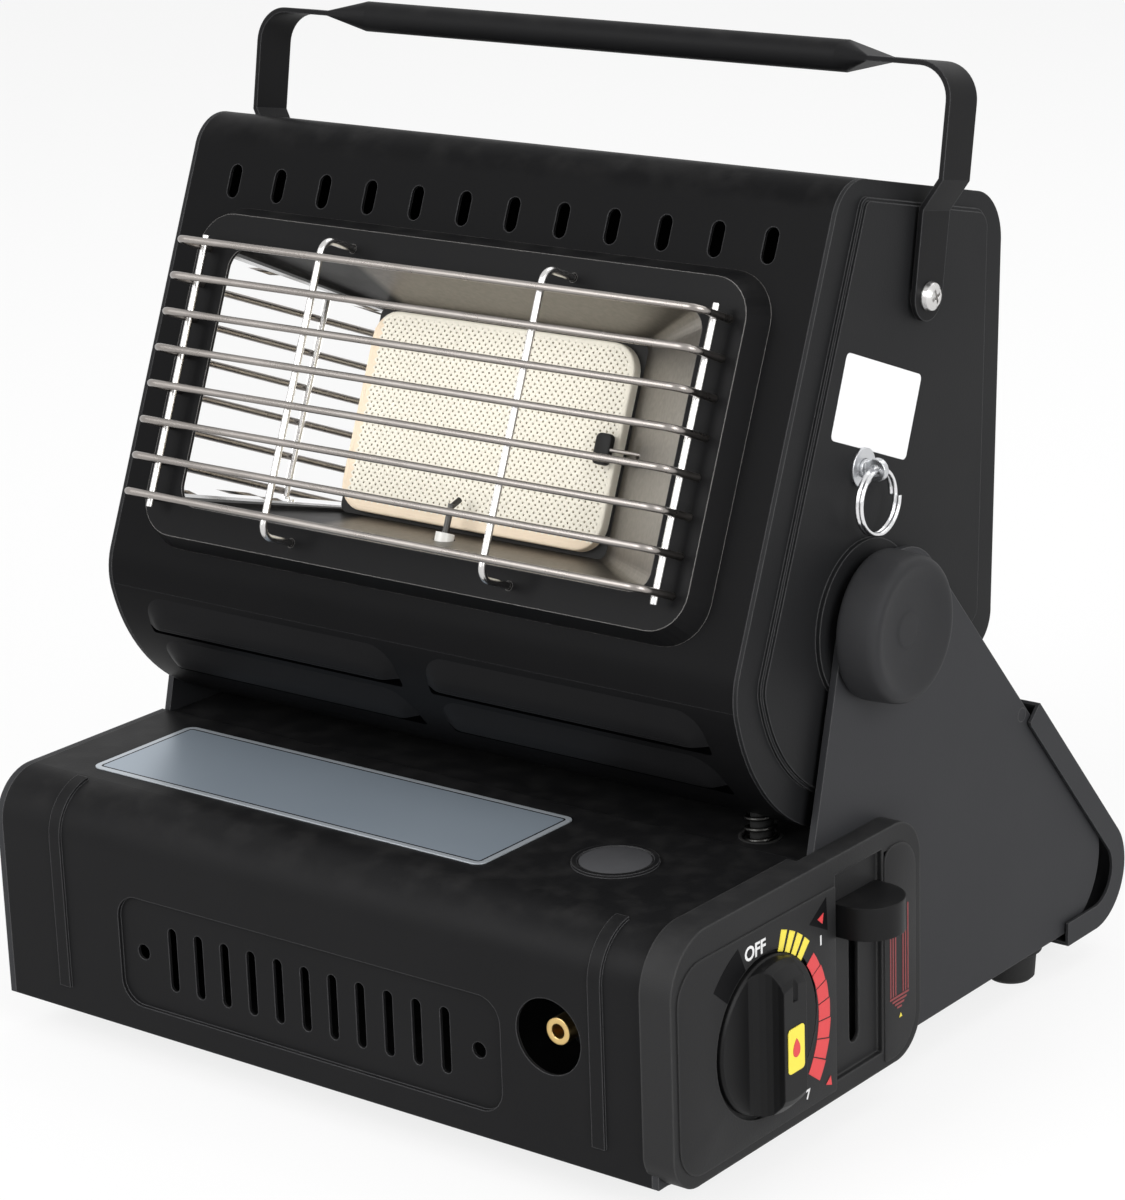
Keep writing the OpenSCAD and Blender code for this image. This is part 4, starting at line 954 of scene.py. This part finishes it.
def makePlaque():
    plate = startPlate(plaque["width"], plaque["height"], plaque["corner"], plaque["cornerSteps"])
    block = thicken(plate, plaque["rise"])
    coat(block, (plaqueCream, plaqueShadePeach, holeShade))
    bevelTop(block, plaque["rise"], plaque["bevel"], plaque["bevelSteps"])
    selectIn(block, "FACE", lambda centre, normal: normal.z > plaque["level"])
    bpy.ops.mesh.inset(thickness=mm(plaque["margin"]))
    bpy.ops.mesh.extrude_region_move(TRANSFORM_OT_translate={"value": (0, 0, -mm(plaque["pocket"]))})
    # The left and bottom margins take the peach tone, painted shade
    left, low = (mm(plaque["edge"] - plaque[key] / 2) for key in ("width", "height"))
    selectIn(block, "FACE", lambda centre, normal: centre.x < left or centre.y < low)
    paint(block, 1)
    bpy.ops.object.mode_set(mode="OBJECT")
    place(block, Matrix.Translation((0, 0, -mm(plaque["rise"]))))
    # The wider block behind is painted in blackened steel: painted shade, a dark line round the plaque
    # between it and the reflector
    width, height = (plaque[key] + 2 * plaque["shoulder"] for key in ("width", "height"))
    shoulder = thicken(startPlate(width, height, plaque["shoulderCorner"]), plaque["deep"])
    coat(shoulder, (plaqueCream, plaqueShadePeach, holeShade, sootSteelAndShade))
    paintAll(shoulder, 3)
    place(shoulder, Matrix.Translation((0, 0, -mm(plaque["deep"] + plaque["rise"] - plaque["overlap"]))))
    reach = plaque["margin"] + plaque["bevel"] - plaque["lap"]
    halfWide, halfHigh = plaque["width"] / 2 - reach, plaque["height"] / 2 - reach
    cells = math.ceil(math.sqrt(2) * (halfWide + halfHigh) / plaque["cell"])
    deselect()
    bpy.ops.mesh.primitive_grid_add(
        x_subdivisions=cells, y_subdivisions=cells, size=mm(cells * plaque["cell"])
    )
    screen = bpy.context.object
    coat(screen, (plaqueCream, plaqueShadePeach, holeShade))
    place(screen, Matrix.Rotation(math.radians(plaque["turn"]), 4, "Z"))
    openEdit(screen)
    corner = plaque["corner"] - reach

    def outside(centre, normal):
        x, y = abs(centre.x) - mm(halfWide - corner), abs(centre.y) - mm(halfHigh - corner)
        if x > 0 and y > 0:
            return math.hypot(x, y) > mm(corner)
        return x > mm(corner) or y > mm(corner)

    def pierced(centre, normal):
        return centre.x > mm(plaque["plain"] - halfWide) and centre.y > mm(plaque["plain"] - halfHigh)

    selectIn(screen, "FACE", outside)
    bpy.ops.mesh.delete(type="FACE")
    # The plain strip on the left and below takes the peach tone, painted shade
    selectIn(screen, "FACE", lambda centre, normal: not pierced(centre, normal))
    paint(screen, 1)
    selectIn(screen, "FACE", pierced)
    bpy.ops.mesh.inset(thickness=mm(plaque["wall"]), use_individual=True)
    bpy.ops.mesh.extrude_region_move(TRANSFORM_OT_translate={"value": (0, 0, -mm(plaque["hole"]))})
    paint(screen, 2)
    bpy.ops.object.mode_set(mode="OBJECT")
    place(screen, Matrix.Translation((0, 0, mm(plaque["cover"]))))
    piece = joinPieces([block, shoulder, screen])
    place(piece, axesMatrix(onFace(0, plaque["up"], plaque["out"]), acrossX, faceUp))
    settle(piece, "burner_plaque", "head", ())
    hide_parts("ceramic_plaque")


# Flame sensor: a blackened tab at the plaque's edge on a thin wire from the reflector's wing
sensor = {
    "width": 5, "height": 8.4, "corner": 1.5, "thick": 1.8, "bevel": 0.4,
    "wire": 0.55, "wireSides": 12, "overlap": 1, "spot": (42.5, 30.4, 33.1),
}


def makeSensor():
    tab = thicken(startPlate(sensor["width"], sensor["height"], sensor["corner"]), sensor["thick"])
    bevelTop(tab, sensor["thick"], sensor["bevel"])
    coat(tab, (sootSteelAndShade, dullWire))
    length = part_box("flame_sensor")[1].x - headMiddle - mm(sensor["spot"][0] + sensor["overlap"])
    deselect()
    bpy.ops.mesh.primitive_cylinder_add(
        vertices=sensor["wireSides"], radius=mm(sensor["wire"]), depth=length
    )
    wire = bpy.context.object
    coat(wire, (sootSteelAndShade, dullWire))
    paintAll(wire, 1)
    aside = Matrix.Translation((mm(sensor["overlap"]) + length / 2, 0, mm(sensor["thick"] / 2)))
    place(wire, aside @ Matrix.Rotation(math.radians(90), 4, "Y"))
    piece = joinPieces([tab, wire])
    place(piece, axesMatrix(onFace(*sensor["spot"]), acrossX, faceUp))
    settle(piece, "sensor_tab", "head", ())
    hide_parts("flame_sensor")


makePlaque()
makeSensor()
print("burner plaque ready")


# Drawn scoops over the louvres: a plate that narrows to its lip and falls off smoothly on three sides
scoop = {
    "half": 47, "height": 12, "corner": 8, "cornerSteps": 6, "sink": 0.8, "lip": 1.85, "lipEdge": 0.2,
    "top": (0.885, 0.3), "round": 1.6, "roundSteps": 5,  # share of the plate that stays level, and its rim
    "radius": 55, "middle": 51,
    "lips": [{"angle": 203.5, "gap": 3.6}, {"angle": 219, "gap": 5.2}],
    "gapHalf": 46, "gapCorner": 0.8, "gapSteps": 3, "gapRise": 0.06, "lap": 0.5,
}


# The head's lower roll is a cylinder about the tilt axis, and up runs along its skin
def onRoll(x, turn):
    outward = Vector((0, math.cos(turn), math.sin(turn)))
    upward = Vector((0, math.sin(turn), -math.cos(turn)))
    spot = Vector((headMiddle + mm(x), tiltAxis.y, tiltAxis.z)) + outward * mm(scoop["radius"])
    return axesMatrix(spot, acrossX, upward)


# Dark strip in the skin under a scoop's lip: painted shade under the lip, standing also for the louvre's
# opening
def makeGap(height):
    plate = startPlate(2 * scoop["gapHalf"], height, scoop["gapCorner"], scoop["gapSteps"])
    piece = thicken(plate, scoop["sink"] + scoop["gapRise"])
    coat(piece, (scoopBlack, gapShade))
    paintAll(piece, 1)
    place(piece, Matrix.Translation((0, 0, -mm(scoop["sink"]))))
    return piece


def makeScoop():
    half = scoop["height"] / 2
    piece = startPlate(2 * scoop["half"], scoop["height"], 0)
    selectIn(piece, "VERT", lambda spot: spot.y > 0)
    bpy.ops.mesh.bevel(offset=mm(scoop["corner"]), segments=scoop["cornerSteps"], affect="VERTICES")
    bpy.ops.mesh.select_all(action="SELECT")
    rise = mm(scoop["sink"] + scoop["lip"])
    bpy.ops.mesh.extrude_region_move(TRANSFORM_OT_translate={"value": (0, 0, rise)})
    wide, tall = scoop["top"]
    bpy.ops.transform.resize(value=(wide, tall, 1), center_override=(0, -mm(half), rise))
    bpy.ops.mesh.select_all(action="SELECT")
    bpy.ops.mesh.normals_make_consistent(inside=False)
    lipLine = mm(scoop["lipEdge"] - half)
    high = rise * nearTop

    def upperRim(start, end):
        return min(start.z, end.z) > high and max(start.y, end.y) > lipLine

    selectIn(piece, "EDGE", upperRim)
    bpy.ops.mesh.bevel(offset=mm(scoop["round"]), segments=scoop["roundSteps"])
    # Lighter coat for the scoop, a painted highlight; gapShade for its lip wall
    coat(piece, (scoopBlack, gapShade))
    # The lip's front wall is painted in gapShade: painted shade under the lip
    selectIn(piece, "FACE", lambda centre, normal: normal.y < -facing)
    paint(piece, 1)
    bpy.ops.object.mode_set(mode="OBJECT")
    place(piece, Matrix.Translation((0, 0, -mm(scoop["sink"]))))
    return piece


def makeScoops():
    scoopModel = makeScoop()
    gapModels = [makeGap(lip["gap"]) for lip in scoop["lips"]]
    pieces = []
    for side in (-1, 1):
        x = side * scoop["middle"]
        for lip, gapModel in zip(scoop["lips"], gapModels):
            turn = math.radians(lip["angle"])
            above = turn - scoop["height"] / 2 / scoop["radius"]
            below = turn + (lip["gap"] / 2 - scoop["lap"]) / scoop["radius"]
            pieces.append(placeCopy(scoopModel, onRoll(x, above)))
            pieces.append(placeCopy(gapModel, onRoll(x, below)))
    for model in (scoopModel, *gapModels):
        bpy.data.objects.remove(model)
    piece = joinPieces(pieces)
    settle(piece, "louvre_scoops", "head", (), angle=50)


# Plain cap in the round recess of the base top
topCap = {"radius": 9.6, "sides": 48, "thick": 0.25, "bevel": 0.12, "aside": 40, "back": 41, "level": 76.4}


def makeTopCap():
    deselect()
    bpy.ops.mesh.primitive_circle_add(
        vertices=topCap["sides"], radius=mm(topCap["radius"]), fill_type="NGON"
    )
    piece = bpy.context.object
    openEdit(piece)
    thicken(piece, topCap["thick"])
    bevelTop(piece, topCap["thick"], topCap["bevel"])
    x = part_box("base_shell")[1].x - mm(topCap["aside"])
    place(piece, Matrix.Translation((x, frontLine + mm(topCap["back"]), mm(topCap["level"]))))
    settle(piece, "base_top_cap", "base", (capGrey,))


makeScoops()
makeTopCap()
print("louvre scoops and cap ready")


# Profiles are drawn point by point and turned about their own axis
turnWeld = 0.01  # points of a turned profile this close together are merged
coilWeld = 0.005  # and so are those of a coil


def drawProfile(points):
    deselect()
    bpy.ops.mesh.primitive_plane_add(size=mm(1))
    piece = bpy.context.object
    openEdit(piece, "VERT")
    bpy.ops.mesh.select_all(action="SELECT")
    bpy.ops.mesh.merge(type="CENTER")
    bpy.ops.transform.translate(value=(mm(points[0][0]), 0, mm(points[0][1])))
    for (x0, z0), (x1, z1) in zip(points, points[1:]):
        bpy.ops.mesh.extrude_region_move(TRANSFORM_OT_translate={"value": (mm(x1 - x0), 0, mm(z1 - z0))})
    bpy.ops.object.mode_set(mode="OBJECT")
    return piece


def turnProfile(piece, steps):
    applyModifier(piece, "SCREW", steps=steps, render_steps=steps, use_merge_vertices=True,
                  merge_threshold=mm(turnWeld), use_normal_calculate=True, use_smooth_shade=True)
    openEdit(piece)
    bpy.ops.mesh.select_all(action="SELECT")
    bpy.ops.mesh.normals_make_consistent(inside=False)
    bpy.ops.object.mode_set(mode="OBJECT")


# Dished tilt knobs on both ends of the tilt axis
thumbKnob = {
    "profile": [
        (0, 7.6), (3.08, 7.6), (3.08, 0), (10, 0), (18.6, 0), (19.5, 0.1), (20, 0.7), (20, 2.4),
        (19.8, 6), (19.6, 9.4), (19.2, 10.8), (18.3, 11.7), (17.2, 12), (16.2, 11.8), (14.6, 11.2),
        (12, 10), (9, 9.45), (6.2, 9.35), (5.2, 9.4), (4.9, 9.55), (4.6, 9.75), (4, 9.8), (0, 9.8),
    ],
    "steps": 48,
}


def makeThumbKnobs():
    model = drawProfile(thumbKnob["profile"])
    turnProfile(model, thumbKnob["steps"])
    applyModifier(model, "SUBSURF", levels=1, render_levels=1)
    for side, word in ((-1, "left"), (1, "right")):
        node = f"tilt_knob_{word}"
        low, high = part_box(node)
        inner = Vector((low.x if side > 0 else high.x, tiltAxis.y, tiltAxis.z))
        piece = placeCopy(model, axesMatrix(inner, alongY * side, upZ))
        settle(piece, f"thumb_knob_{word}", f"{word}_tilt_knob", (thumbGrey,), angle=40)
        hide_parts(node)
    bpy.data.objects.remove(model)


# Split ring of two close turns
splitRing = {"radius": 8.4, "wire": 0.62, "pitch": 1.28, "turns": 2, "steps": 56}
wireSides = 10


def startCoil(radius, sizes):
    wire, pitch, turns, steps = (sizes[key] for key in ("wire", "pitch", "turns", "steps"))
    deselect()
    bpy.ops.mesh.primitive_circle_add(vertices=wireSides, radius=mm(wire))
    piece = bpy.context.object
    place(piece, Matrix.Translation((mm(radius), 0, 0)) @ Matrix.Rotation(math.radians(90), 4, "X"))
    applyModifier(piece, "SCREW", steps=steps, render_steps=steps, screw_offset=mm(pitch), iterations=turns,
                  use_smooth_shade=True)
    openEdit(piece)
    bpy.ops.mesh.select_all(action="SELECT")
    bpy.ops.mesh.remove_doubles(threshold=mm(coilWeld))
    bpy.ops.mesh.fill_holes(sides=0)
    bpy.ops.mesh.normals_make_consistent(inside=False)
    bpy.ops.object.mode_set(mode="OBJECT")
    place(piece, Matrix.Translation((0, 0, -mm(pitch * turns) / 2)))
    return piece


def makeSplitRing():
    piece = startCoil(splitRing["radius"], splitRing)
    place(piece, axesMatrix(middleOf("pull_ring"), alongY, upZ))
    settle(piece, "split_ring", "ring", (ringChrome,), angle=60)
    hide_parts("pull_ring")


# Rubber hose with its wire coil, from the base roof up into the head
hose = {
    "radius": 2.9, "sides": 20, "rings": 10,
    "reach": 4.0, "wire": 0.62, "pitch": 3, "turns": 12, "steps": 24,
}


def makeHose():
    low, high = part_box("gas_hose")
    half = (high.x - low.x) / 2
    foot = Vector((low.x + half, low.y + half, low.z))
    head = Vector((low.x + half, high.y - half, high.z))
    lean = axesMatrix(foot, acrossX, (head - foot).cross(acrossX))
    deselect()
    bpy.ops.mesh.primitive_circle_add(vertices=hose["sides"], radius=mm(hose["radius"]), fill_type="NGON")
    tube = bpy.context.object
    openEdit(tube)
    bpy.ops.mesh.select_all(action="SELECT")
    step = (head - foot).length / hose["rings"]
    for number in range(hose["rings"]):
        bpy.ops.mesh.extrude_region_move(TRANSFORM_OT_translate={"value": (0, 0, step)})
    bpy.ops.mesh.select_all(action="SELECT")
    bpy.ops.mesh.normals_make_consistent(inside=False)
    bpy.ops.object.mode_set(mode="OBJECT")
    coil = startCoil(hose["reach"], hose)
    place(coil, Matrix.Translation((0, 0, (head - foot).length / 2)))
    for piece, name, node, slotName, material in (
        (tube, "rubber_hose", "gas_hose", "black_rubber", softRubber),
        (coil, "hose_wire_coil", "hose_coil", "plain_steel", darkWire),
    ):
        place(piece, lean)
        settle(piece, name, None, (material,), angle=50)
        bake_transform(piece)
        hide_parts(node)


makeThumbKnobs()
makeSplitRing()
makeHose()
print("knobs, ring and hose ready")
